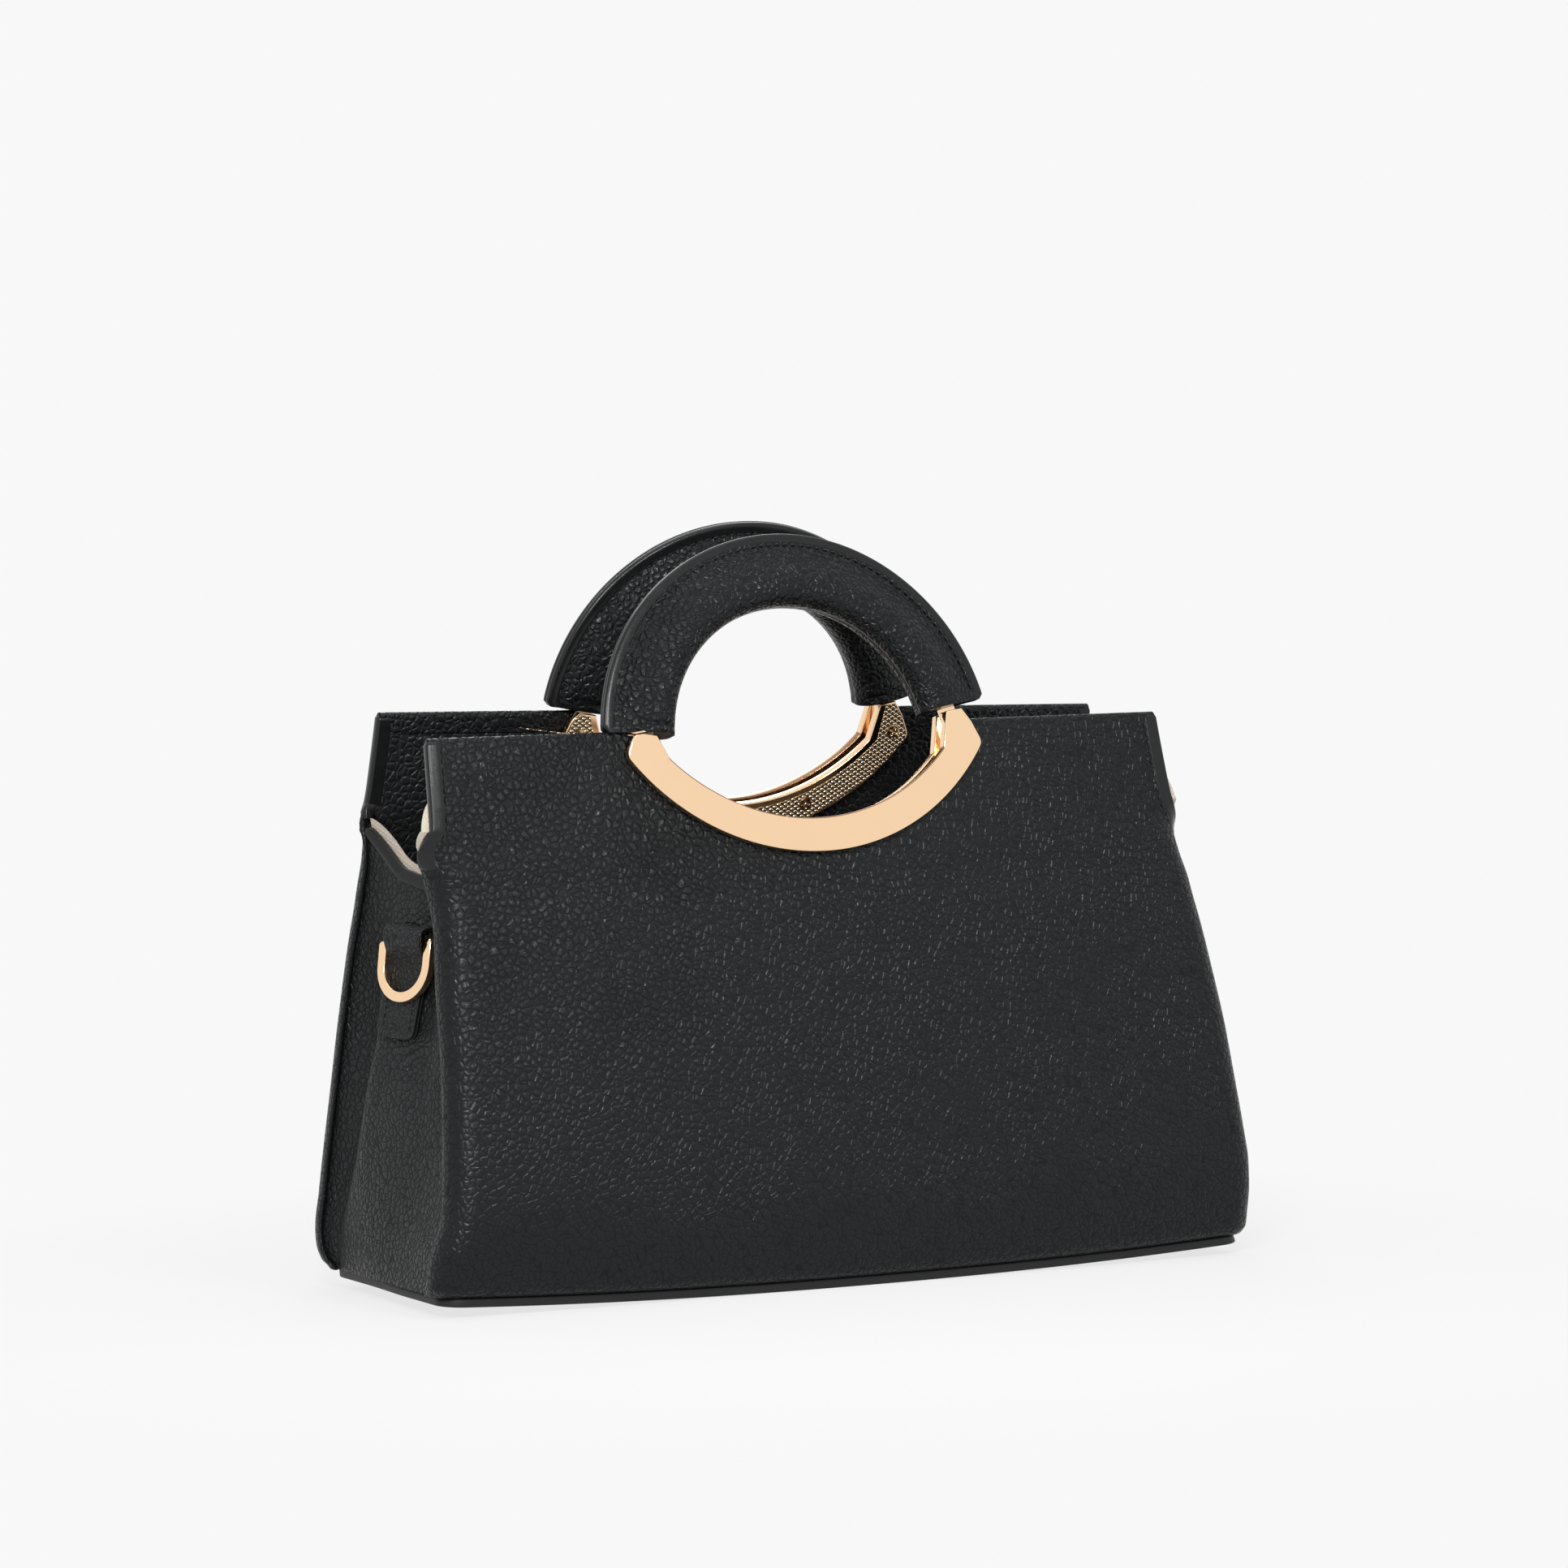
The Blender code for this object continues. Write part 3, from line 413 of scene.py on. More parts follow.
def polished_gold(name, tone=GOLD, roughness=0.09, slot="rose_gold"):
    paint = Paint(name, slot, Metallic=1.0)
    cloud = paint.noise(paint.place(), 18.0, 3.0, 0.55)
    hair = paint.noise(paint.place((0.12, 3.0, 3.0)), 1.0, 4.0, 0.7)
    paint.bump(cloud * 0.6 + hair * 0.1, 0.012)
    paint.colour(cloud, tone, 0.965, roughness + 0.05 * hair + 0.04 * (cloud - 0.5))
    return paint


def knurled_gold(name, tone):
    """Polished metal pressed with a mesh of diamonds."""
    paint = Paint(name, "rose_gold", Metallic=1.0)
    across = paint.add("ShaderNodeSeparateXYZ", None, {0: paint.kept("lay", "Vector")})
    up = across.other(1)
    wave = 2 * math.pi / KNURL_PITCH
    one = ((across * 0.62 + up) * wave).sine()
    two = ((across * 0.62 - up) * wave).sine()
    studs = (one * 0.5 + 0.5) * (two * 0.5 + 0.5)
    stud_tops = studs.between(0.02, 0.14)
    paint.bump(studs.between(0.0, 0.7), 0.22)
    # colour darkens to a fifth of the tone in the gaps between the studs: painted shade
    paint.colour(stud_tops, tone, 0.2, 0.27 + 0.25 * (1 - stud_tops))
    return paint


def woven_lining(name, tone):
    """Plain weave: threads over and under each other, a little uneven."""
    paint = Paint(name, "cream_lining", Specular_IOR_Level=0.2)
    place = paint.place()
    bent = paint.add("ShaderNodeSeparateXYZ", None, {0: paint.shifted(place, 9.0, 0.12)})
    wave = 2 * math.pi / WEAVE_PITCH
    along = (bent * wave + bent.other(1) * wave).sine()
    upward = (bent.other(2) * wave).sine()
    over = (along * upward).between(-0.7, 0.7)
    ribs = (along.size() * 0.5 + upward.size() * 0.5) ** 0.7
    lint = paint.noise(place, 0.5, 4.0, 0.7)
    paint.bump(over * 0.5 + ribs * 0.35 + lint * 0.25, 0.22)
    paint.colour(over * 0.4 + ribs * 0.4 + lint * 0.2, tone, 0.62, 0.82 + 0.14 * (lint - 0.5))
    return paint


def fibre_board(name, tone):
    paint = Paint(name, "board")
    fibres = paint.noise(paint.place(), 1.4, 5.0, 0.7)
    paint.bump(fibres, 0.08)
    paint.colour(fibres, tone, 0.7, 0.85 + 0.1 * (fibres - 0.5))
    return paint


def waxed_thread(name, tone):
    paint = Paint(name, "black_leather", Specular_IOR_Level=0.4)
    sockets = {"Vector": paint.place(), "Scale": 1.6, "Distortion": 1.5}
    twist = paint.add("ShaderNodeTexWave", {"bands_direction": "DIAGONAL"}, sockets, "Fac")
    paint.bump(twist, 0.06)
    paint.colour(twist, tone, 0.5, 0.42 + 0.15 * (twist - 0.5))
    return paint


# The leathers are one black leather; their tones differ as painted light and shade: the end walls,
# facing and tabs lighter and the handles darker than the walls.
# name, pitch and depth of the grain, colour, roughness in the creases
wall_leather = pebbled_leather("pebbled wall leather", 2.5, 0.52, INK)
end_leather = pebbled_leather("pebbled end leather", 2.3, 0.58, (0.0185, 0.019, 0.0197), 0.29)
facing_leather = pebbled_leather("pebbled facing leather", 2.6, 0.56, (0.0115, 0.012, 0.0132))
handle_leather = pebbled_leather("pebbled handle leather", 2.4, 0.5, (0.0072, 0.0077, 0.0084), 0.2)
tab_leather = pebbled_leather("fine tab leather", 1.8, 0.38, (0.021, 0.0217, 0.0225), 0.28)
edge_paint = smooth_leather("painted leather edge", (0.010, 0.0105, 0.0112), 0.23)
binding_leather = smooth_leather("smooth binding leather", (0.010, 0.0105, 0.0112), 0.27)
sole_leather = smooth_leather("smooth sole leather", (0.013, 0.0132, 0.0135), 0.5,
                              "sole_leather", 0.06)
rose_gold = polished_gold("polished rose gold")
ring_gold = polished_gold("polished ring gold", GOLD, 0.07)
# the knurled plate's gold is a lighter tone than the plates': painted light, as it faces the dark
# inside of the bag
lightened_mesh_gold = knurled_gold("knurled rose gold", (1.0, 0.77, 0.52))
# darker gold for the plates' bevel round the hand opening: painted dark reflection
shaded_edge_gold = polished_gold("shaded edge gold", (0.36, 0.21, 0.12), 0.16)
screw_gold = polished_gold("darker screw gold", (0.5, 0.31, 0.17), 0.2, "screw_gold")
cream_lining = woven_lining("woven cream lining", (0.72, 0.645, 0.535))
grey_board = fibre_board("grey fibre board", (0.3, 0.28, 0.25))
thread = waxed_thread("black waxed thread", (0.007, 0.0073, 0.0078))


# Meshes
def unit(vectors):
    return vectors / np.maximum(np.linalg.norm(vectors, axis=-1, keepdims=True), 1e-9)


def mirrored(half):
    """Values from 0 up, with the same below 0."""
    return np.concatenate([-half[:0:-1], half])


def new_piece(name, points, faces, paints, face_paints=None, kept=None, sharp=40, settles=True):
    """Piece from points in millimetres; kept holds values for its points.

    The piece settles with the bag, or else stays where it is drawn.
    """
    points = np.asarray(points, float)
    points = settled(points) if settles else points
    mesh = bpy.data.meshes.new(name)
    mesh.from_pydata((points * MM).tolist(), [], faces)
    for paint in paints:
        mesh.materials.append(paint.material)
    if face_paints is not None:
        mesh.polygons.foreach_set("material_index", face_paints)
    for key, values in (kept or {}).items():
        values = np.asarray(values, np.float32)
        kind, field = ("FLOAT", "value") if values.ndim == 1 else ("FLOAT_VECTOR", "vector")
        mesh.attributes.new(key, kind, "POINT").data.foreach_set(field, values.ravel())
    mesh.shade_smooth()
    mesh.set_sharp_from_angle(angle=math.radians(sharp))
    obj = bpy.data.objects.new(name, mesh)
    bpy.context.scene.collection.objects.link(obj)
    return obj


def tidied(obj, weld=False):
    """The faces of a closed piece turned outward, and points that lie on each other joined."""
    bm = bmesh.new()
    bm.from_mesh(obj.data)
    if weld:
        bmesh.ops.remove_doubles(bm, verts=bm.verts, dist=0.004 * MM)
    bmesh.ops.recalc_face_normals(bm, faces=bm.faces)
    bm.to_mesh(obj.data)
    bm.free()
    return obj


def ring_quads(rings, size, start=0):
    """Quads between rings of points that are numbered one after another."""
    quads = []
    for first in range(start, start + (rings - 1) * size, size):
        for j in range(size):
            k = (j + 1) % size
            quads.append((first + j, first + k, first + size + k, first + size + j))
    return quads


def tube_faces(rings, size, start=0):
    """Faces of a closed tube: quads between its rings and a cap at each end."""
    last = start + (rings - 1) * size
    caps = [tuple(range(start + size - 1, start - 1, -1)), tuple(range(last, last + size))]
    return ring_quads(rings, size, start) + caps


def tube(name, rings, paints, **rest):
    """Closed piece through rings of points."""
    faces = tube_faces(*rings.shape[:2])
    return tidied(new_piece(name, rings.reshape(-1, 3), faces, paints, **rest))


def grid_faces(rows, columns, start=0, flip=False):
    """Quads of a grid of points numbered row by row."""
    faces = []
    for r in range(rows - 1):
        for c in range(columns - 1):
            a = start + r * columns + c
            face = (a, a + 1, a + columns + 1, a + columns)
            faces.append(face[::-1] if flip else face)
    return faces


def grid_normals(grid, outward):
    normals = unit(np.cross(np.gradient(grid, axis=1), np.gradient(grid, axis=0)))
    return -normals if np.sum(normals * np.asarray(outward, float)) < 0 else normals


def border_of(rows, columns):
    """Rows and columns of the points round a grid, in order."""
    top = [(0, c) for c in range(columns - 1)]
    right = [(r, columns - 1) for r in range(rows - 1)]
    bottom = [(rows - 1, c) for c in range(columns - 1, 0, -1)]
    left = [(r, 0) for r in range(rows - 1, 0, -1)]
    return np.array(top + right + bottom + left)


def soft_sheet(name, grid, normals, thickness, paints, stretched=0.0, dome=0.3, settles=True):
    """Closed sheet of even thickness under a grid of points, its edges rounded over.

    The paints are those of the outer face, the inner face and the edge.
    """
    rows, columns = grid.shape[:2]
    inner = grid - normals * thickness
    r, c = border_of(rows, columns).T
    inside = grid[np.clip(r, 1, rows - 2), np.clip(c, 1, columns - 2)]
    away = unit(grid[r, c] - inside)
    middle = (grid[r, c] + inner[r, c]) / 2
    lift, reach = normals[r, c] * thickness / 2, away * thickness * dome
    rims = [middle + lift * math.cos(a) + reach * math.sin(a)
            for a in map(math.radians, (30, 65, 90, 115, 150))]
    points = np.concatenate([grid.reshape(-1, 3), inner.reshape(-1, 3)] + rims)
    across, up = grid[0, 1] - grid[0, 0], grid[1, 0] - grid[0, 0]
    turned = np.sum(np.cross(across, up) * normals[0, 0]) < 0
    outer_faces = grid_faces(rows, columns, 0, turned)
    faces = outer_faces + grid_faces(rows, columns, rows * columns, not turned)
    flat = r * columns + c
    rings = [flat] + [2 * rows * columns + np.arange(i * len(r), (i + 1) * len(r))
                      for i in range(len(rims))] + [flat + rows * columns]
    for first, second in zip(rings, rings[1:]):
        for i in range(len(r)):
            j = (i + 1) % len(r)
            face = (int(first[j]), int(first[i]), int(second[i]), int(second[j]))
            faces.append(face[::-1] if turned else face)
    quads = len(outer_faces)
    face_paints = [0] * quads + [1] * quads + [2] * (len(faces) - 2 * quads)
    firmness = np.broadcast_to(stretched, (rows, columns)).ravel()
    kept = {"stretched": np.concatenate([firmness, firmness, np.ones(len(rims) * len(r))])}
    return new_piece(name, points, faces, paints, face_paints, kept, settles=settles)


def stitch_row(name, path, normals, pitch=3.1, length=2.3, radius=0.34, settles=True):
    """Row of sewn stitches along a path on a surface, each thread dipping in at its ends."""
    run = np.concatenate([[0], np.cumsum(np.linalg.norm(np.diff(path, axis=0), axis=1))])
    count = max(1, int(run[-1] / pitch))
    stations = np.array((-0.5, -0.42, -0.25, 0.0, 0.25, 0.42, 0.5))
    girth = np.array((0.35, 0.75, 1.0, 1.05, 1.0, 0.75, 0.35)) * radius
    height = np.array((-0.9, -0.35, 0.1, 0.25, 0.1, -0.35, -0.9)) * radius + 0.05
    sides = 6
    turn = (2 * math.pi * np.arange(sides) / sides)[:, None]
    points, faces = [], []
    for i in range(count):
        at = (i + 0.5) * run[-1] / count + stations * length
        spots = np.stack([np.interp(at, run, path[:, axis]) for axis in range(3)], 1)
        up = unit(np.stack([np.interp(at, run, normals[:, axis]) for axis in range(3)], 1))
        side = unit(np.cross(unit(np.gradient(spots, axis=0)), up))
        rings = side[:, None] * np.cos(turn) + up[:, None] * np.sin(turn)
        middles = spots + up * height[:, None]
        points.append((middles[:, None] + rings * girth[:, None, None]).reshape(-1, 3))
        faces += tube_faces(len(stations), sides, i * len(stations) * sides)
    piece = new_piece(name, np.concatenate(points), faces, [thread], sharp=80, settles=settles)
    return tidied(piece)


def swell(seed, x, y, size, height):
    """Slow waves that keep a surface from looking machined."""
    rng = np.random.default_rng(seed)
    total = np.zeros(np.broadcast(x, y).shape)
    for _ in range(6):
        angle, phase = rng.uniform(0, 2 * math.pi, 2)
        length = size * rng.uniform(0.6, 1.6)
        run = (x * math.cos(angle) + y * math.sin(angle)) * 2 * math.pi / length
        total = total + np.sin(run + phase)
    return total * height / 6


def ride(obj, body, *nodes):
    """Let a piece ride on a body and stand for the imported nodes."""
    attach(obj, body)
    if nodes:
        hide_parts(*nodes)


# Shape of the walls
def level(z):
    """The wall at heights z: half width, middle depth and bow, sweep and radius of the roll
    at its sides, and half width of the flat between them."""
    width, belly, bow, roll = (through(z, LEVEL_HEIGHTS, LEVELS[:, i]) for i in (1, 2, 3, 4))
    half = (TOP_LENGTH + (BODY_LENGTH - TOP_LENGTH) * width) / 2
    lean = (SET_HEIGHT - np.maximum(z, BEND_Z)) * math.tan(SET_LEAN)
    straight = SET_HALF + lean + PACK / 2 / math.cos(SET_LEAN)
    depth = straight + (BELLY - straight) * belly
    sweep = np.maximum(ROLL_ANGLE * roll, 0.02)
    radius = ROLL_STRIP / sweep
    flat = half - radius * np.sin(np.minimum(sweep, math.pi / 2))
    return half, depth, WALL_BOW * bow, sweep, radius, flat


class Plane:
    """Plane in which something is drawn: its origin, and its directions right, up and out."""

    def __init__(self, origin, right, up, out):
        self.origin, self.right, self.up, self.out = (np.array(v) for v in (origin, right, up, out))

    def place(self, x, y, n):
        x, y, n = (np.asarray(a, float)[..., None] for a in (x, y, n))
        return self.origin + self.right * x + self.up * y + self.out * n

    def tilted(self, angle):
        """The plane turned about its direction right."""
        up = self.up * math.cos(angle) + self.out * math.sin(angle)
        out = self.out * math.cos(angle) - self.up * math.sin(angle)
        return Plane(self.origin, self.right, up, out)

    def leaning(self, angle, lift=0.0, proud=0.0):
        """The plane turned in itself, moved up and out."""
        right = self.right * math.cos(angle) + self.up * math.sin(angle)
        up = self.up * math.cos(angle) - self.right * math.sin(angle)
        return Plane(self.origin + self.up * lift + self.out * proud, right, up, self.out)


class Wall:
    """Front or back: its outer surface, and the plane of its handle."""

    def __init__(self, name, sign, rise, shift):
        self.name = name
        self.sign = sign
        self.rise = rise
        self.outward = (0.0, sign, 0.0)
        sine, cosine = math.sin(SET_LEAN), math.cos(SET_LEAN)
        self.seat = Plane((shift, sign * SET_HALF, SET_HEIGHT + rise), (-sign, 0.0, 0.0),
                          (0.0, -sign * sine, cosine), (0.0, sign * cosine, sine))

    def lift(self, z):
        return z + self.rise * ramp(z, SEAT_Z, BEND_Z)

    def surface(self, q, z):
        """Outer face at q, which runs 0 to 1 over the flat and on to 2 round the roll."""
        q, z = np.broadcast_arrays(np.asarray(q, float), np.asarray(z, float))
        depth, bow, sweep, radius, flat = level(z)[1:]
        on_flat = np.minimum(np.abs(q), 1)
        turn = sweep * ramp(np.abs(q), 1, 2)
        x = np.sign(q) * (flat * on_flat + radius * np.sin(turn))
        reach = ramp(on_flat, FLAT_SHARE, 1)
        inward = depth - bow * reach ** 2 - radius * (1 - np.cos(turn))
        return np.stack([x, self.sign * inward, self.lift(z)], -1)

    def roll_share(self, z, inset):
        """q of the points that lie inset from the edge of the wall, measured along x."""
        half, _, _, sweep, radius, flat = level(z)
        x = half - inset
        share = np.arcsin(np.clip((x - flat) / radius, 0, 1)) / sweep
        return np.where(x <= flat, x / flat, 1 + np.clip(share, 0, 1))

    def strip(self, side, z, insets):
        """Grid of the outer face beside one edge, a row for each height."""
        columns = [self.surface(side * self.roll_share(z, inset), z) for inset in insets]
        return np.stack(columns, 1)

    def seam(self, z):
        """(x, depth) of the end wall's outer side, tucked inside the end of the roll."""
        edge = self.surface(2.0, z)
        sweep = level(z)[3]
        along = np.stack([np.cos(sweep), -np.sin(sweep)], -1)
        out = np.stack([np.sin(sweep), np.cos(sweep)], -1)
        end = np.stack([edge[..., 0], edge[..., 1] * self.sign], -1)
        return end - along * SEAM_LAP - out * (LEATHER + SEAM_ROOM)


front = Wall("front", -1, 0.0, FRONT_SET_SHIFT)
back = Wall("back", 1, BACK_RISE, BACK_SET_SHIFT)


# Outlines, in a plane
def arc(centre, radius, start, end, steps):
    a = np.radians(np.linspace(start, end, steps + 1))
    return np.stack([centre[0] + radius * np.cos(a), centre[1] + radius * np.sin(a)], 1)


def rounded(corners, steps=6):
    """Outline through (x, y, radius) corners, each with its radius drawn as an arc."""
    outline = []
    count = len(corners)
    for i, (x, y, radius) in enumerate(corners):
        here = np.array((x, y))
        if radius == 0:
            outline.append(here)
            continue
        before = unit(np.array(corners[i - 1][:2]) - here)
        after = unit(np.array(corners[(i + 1) % count][:2]) - here)
        half = math.acos(float(np.clip(before @ after, -1, 1))) / 2
        centre = here + unit(before + after) * radius / math.sin(half)
        first = here + before * radius / math.tan(half) - centre
        last = here + after * radius / math.tan(half) - centre
        start = math.degrees(math.atan2(first[1], first[0]))
        turn = (math.degrees(math.atan2(last[1], last[0])) - start + 180) % 360 - 180
        outline += list(arc(centre, radius, start, start + turn, steps))
    return outline


def corner_cut(near, corner):
    """How far a rounded corner takes an edge back, at distances near its end."""
    bite = corner - np.sqrt(np.clip(corner ** 2 - (corner - near) ** 2, 0, None))
    return np.where(near < corner, bite, 0)


def sagging(half_span, end_height, low_height, steps):
    """Right half of a hanging arc from its lowest point, and its centre height and radius."""
    sag = end_height - low_height
    radius = (half_span ** 2 + sag ** 2) / (2 * sag)
    end = math.degrees(math.asin(half_span / radius))
    middle = low_height + radius
    return arc((0.0, middle), radius, -90, -90 + end, steps), middle, radius


def end_line(radius, drop=0.0):
    """Corner of a handle's leg on its end line, at a radius."""
    return (radius * math.cos(HANDLE_END) + drop * math.sin(HANDLE_END),
            HANDLE_RISE + radius * math.sin(HANDLE_END) - drop * math.cos(HANDLE_END), 0.0)


def both_sides(right, left):
    """Closed outline from the corners of its right half and those that the left half mirrors."""
    return np.array(rounded(right + [(-x, y, radius) for x, y, radius in reversed(left) if x > 0]))


def half_crescent(drop):
    """Half of a plate's outline, its leg reaching down by a drop."""
    outer, inner = sagging(*OUTER_ARC, 40)[0], sagging(*INNER_ARC, 34)[0]
    corners = [(x, y, 0.0) for x, y in outer[:-2]]
    corners += [(*OUTER_ARC[:2], 3.5), (*SHOULDER, 5.0),
                end_line(LEG_RADIUS + LEG_WIDTH / 2, GAP + drop),
                end_line(LEG_RADIUS - LEG_WIDTH / 2, GAP + drop), (*inner[-1], 2.0)]
    return corners + [(x, y, 0.0) for x, y in inner[-2::-1]]


def half_mesh(drop):
    """The same outline drawn in, most at the hand opening."""
    span_out, end_out, low_out = OUTER_ARC
    span_in, end_in, low_in = INNER_ARC
    outer = sagging(span_out - MESH_INSET, end_out, low_out + MESH_INSET, 40)[0]
    inner = sagging(span_in + MESH_RIM * 1.4, end_in, low_in - MESH_RIM, 34)[0]
    corners = [(x, y, 0.0) for x, y in outer[:-1]]
    corners += [(span_out - MESH_INSET, end_out, 3.0), (SHOULDER[0] - MESH_INSET, SHOULDER[1], 4.0),
                end_line(LEG_RADIUS + LEG_WIDTH / 2 - 0.4, GAP + 0.6 + drop),
                end_line(LEG_RADIUS - LEG_WIDTH / 2 + MESH_RIM, GAP + 0.6 + drop)]
    return corners + [(x, y, 0.0) for x, y in inner[::-1]]


def crescent(half, wall):
    """Closed outline from a half that is drawn for each end with its own drop of the leg."""
    left, right = LEG_DROPS[wall.name]
    return both_sides(half(right), half(left))


def notch():
    """Cut in the wall: the hand opening with a margin, and room for the arch's feet."""
    middle, radius = sagging(*INNER_ARC, 4)[1:]
    radius += NOTCH_MARGIN
    outer, low, leg, shoulder = 64.0, -4.5, 61.0, 3.5
    meet = math.degrees(math.acos((middle - low) / radius))
    corners = [(x, y, 0.0) for x, y in arc((0.0, middle), radius, -90, -90 + meet, 20)]
    corners += [(outer, low, 2.2), (outer, shoulder, 1.1), (leg, shoulder + 2.2, 0.0),
                (leg, 24.0, 0.0)]
    return both_sides(corners, corners)


def cut_notch(obj, wall):
    """Cut the notch right through a sheet of the wall."""
    outline = notch()
    rings = np.array([wall.seat.place(*outline.T, n) for n in (-NOTCH_DEPTH, NOTCH_DEPTH)])
    tool = tube(obj.name + "_cut", rings, [thread])
    change = obj.modifiers.new("notch", "BOOLEAN")
    change.operation = "DIFFERENCE"
    change.solver = "EXACT"
    change.object = tool
    graph = bpy.context.evaluated_depsgraph_get()
    mesh = bpy.data.meshes.new_from_object(obj.evaluated_get(graph))
    obj.modifiers.clear()
    obj.data = mesh
    bpy.data.objects.remove(tool)


def stepped(outline, step):
    """Outline with more points along its long sides."""
    points = []
    for here, after in zip(outline, np.roll(outline, -1, axis=0)):
        count = max(1, int(np.linalg.norm(after - here) / step))
        points += [here + (after - here) * i / count for i in range(count)]
    return points


def bevelled_plate(name, outlines, plane, low, high, bevel, paint, settles=True):
    """Plate of flat outlines between two levels of a plane, its edges rounded over."""
    curve = bpy.data.curves.new(name, "CURVE")
    curve.dimensions = "2D"
    curve.fill_mode = "BOTH"
    curve.extrude = ((high - low) / 2 - bevel) * MM
    curve.bevel_depth = bevel * MM
    curve.bevel_resolution = 3
    curve.offset = -bevel * MM
    for outline in outlines:
        spline = curve.splines.new("POLY")
        spline.points.add(len(outline) - 1)
        for point, (x, y) in zip(spline.points, outline):
            point.co = (x * MM, y * MM, 0.0, 1.0)
        spline.use_cyclic_u = True
    guide = bpy.data.objects.new(name + "_guide", curve)
    bpy.context.scene.collection.objects.link(guide)
    graph = bpy.context.evaluated_depsgraph_get()
    flat = bpy.data.meshes.new_from_object(guide.evaluated_get(graph))
    bpy.data.objects.remove(guide)
    local = np.array([v.co for v in flat.vertices]) / MM
    faces = [tuple(p.vertices) for p in flat.polygons]
    points = plane.place(local[:, 0], local[:, 1], local[:, 2] + (low + high) / 2)
    obj = new_piece(name, points, faces, [paint], None, {"lay": local}, 30, settles)
    crisp_faces(tidied(obj, weld=True))
    return obj


def broad_faces(mesh):
    """For each face of a plate, whether it lies in one of its two flat faces."""
    large = max(mesh.polygons, key=lambda face: face.area).normal.copy()
    return [abs(face.normal.dot(large)) > 0.9995 for face in mesh.polygons]


def crisp_faces(obj):
    """Keep the two flat faces of a plate flat to the light, apart from their rounded edges."""
    mesh = obj.data
    sides = {}
    for face, broad in zip(mesh.polygons, broad_faces(mesh)):
        for key in face.edge_keys:
            sides.setdefault(key, set()).add(broad)
    sharp = (mesh.attributes.get("sharp_edge")
             or mesh.attributes.new("sharp_edge", "BOOLEAN", "EDGE"))
    for edge in mesh.edges:
        if len(sides[edge.key]) == 2:
            sharp.data[edge.index].value = True


# Walls
def make_wall(wall):
    """Outer leather: up the wall, over the top edge and a little way down inside."""
    top = WALL_TOP - EDGE_TURN
    heights = np.concatenate([np.linspace(SEAT_Z, 14, 9)[:-1], np.linspace(14, 140, 62)[:-1],
                              np.linspace(140, top, 34)])
    q = mirrored(np.concatenate([np.linspace(0, 1, 62), np.linspace(1, 2, 15)[1:]]))
    share = np.abs(q)
    grid = wall.surface(q, heights[:, None])
    normals = grid_normals(grid, wall.outward)
    x, z = grid[..., 0], grid[..., 2]
    calm = ramp(z, 170, 130) * ramp(z, 6, 26) * (1 - 0.7 * ramp(share, 0.9, 1.9))
    waves = swell(3 if wall is front else 8, x, z, 95, 0.8)
    grid = grid + normals * (waves * calm)[..., None]
    last, up, out = grid[-1], unit(grid[-1] - grid[-2]), normals[-1]
    over, over_normals = [], []
    for a in np.radians(np.arange(18, 181, 18)):
        over.append(last + up * EDGE_TURN * math.sin(a) - out * EDGE_TURN * (1 - math.cos(a)))
        over_normals.append(out * math.cos(a) + up * math.sin(a))
    for drop in np.linspace(1, HEM_DROP, 5):
        over.append(last - out * 2 * EDGE_TURN - up * drop)
        over_normals.append(-out)
    whole = np.concatenate([grid, over])
    level_z = np.concatenate([heights, np.full(len(over), top)])[:, None]
    on_roll = ramp(share, 0.93, 1.23) * ramp(level_z, 148, 138)
    low = 0.4 * ramp(level_z, 26, 4) + 0.5 * ramp(level_z, 95, 20)
    full = np.exp(-((whole[..., 0] + 105) / 55) ** 2) * ramp(level_z, 50, 120) * (1 - on_roll)
    stretched = np.clip(on_roll * 0.8 + low, 0, 1) - 0.15 - (0.95 if wall is front else 0.2) * full
    normals = np.concatenate([normals, over_normals])
    obj = soft_sheet(f"{wall.name}_wall", whole, normals, WALL_SHEET,
                     [wall_leather, facing_leather, wall_leather], stretched)
    cut_notch(obj, wall)
    ride(obj, wall.name, f"{wall.name}_panel")


def make_facing(wall):
    """Leather facing inside the mouth, below the wall's turned edge."""
    z = np.linspace(WALL_TOP - FACING_DROP, WALL_TOP - EDGE_TURN - HEM_DROP - 0.2, 26)[:, None]
    reach = wall.roll_share(z, 0.8 + 14 * through(z, LEVEL_HEIGHTS, LEVELS[:, 4]))
    grid = wall.surface(np.linspace(-1, 1, 110) * reach, z)
    normals = grid_normals(grid, wall.outward)
    obj = soft_sheet(f"{wall.name}_facing_leather", grid - normals * PACK, -normals, FACING - 0.2,
                     [facing_leather] * 3)
    cut_notch(obj, wall)
    ride(obj, wall.name, f"{wall.name}_facing")


def make_wall_lining(wall):
    z = np.linspace(8.0, WALL_TOP - FACING_DROP - GAP, 46)[:, None]
    q = mirrored(np.concatenate([np.linspace(0, 1, 40), np.linspace(1, 1.8, 8)[1:]]))
    grid = wall.surface(q, z)
    normals = grid_normals(grid, wall.outward)
    grid = grid - normals * (LEATHER + GAP)
    obj = soft_sheet(f"{wall.name}_woven_lining", grid, normals, CLOTH, [cream_lining] * 3)
    ride(obj, wall.name, f"{wall.name}_lining")


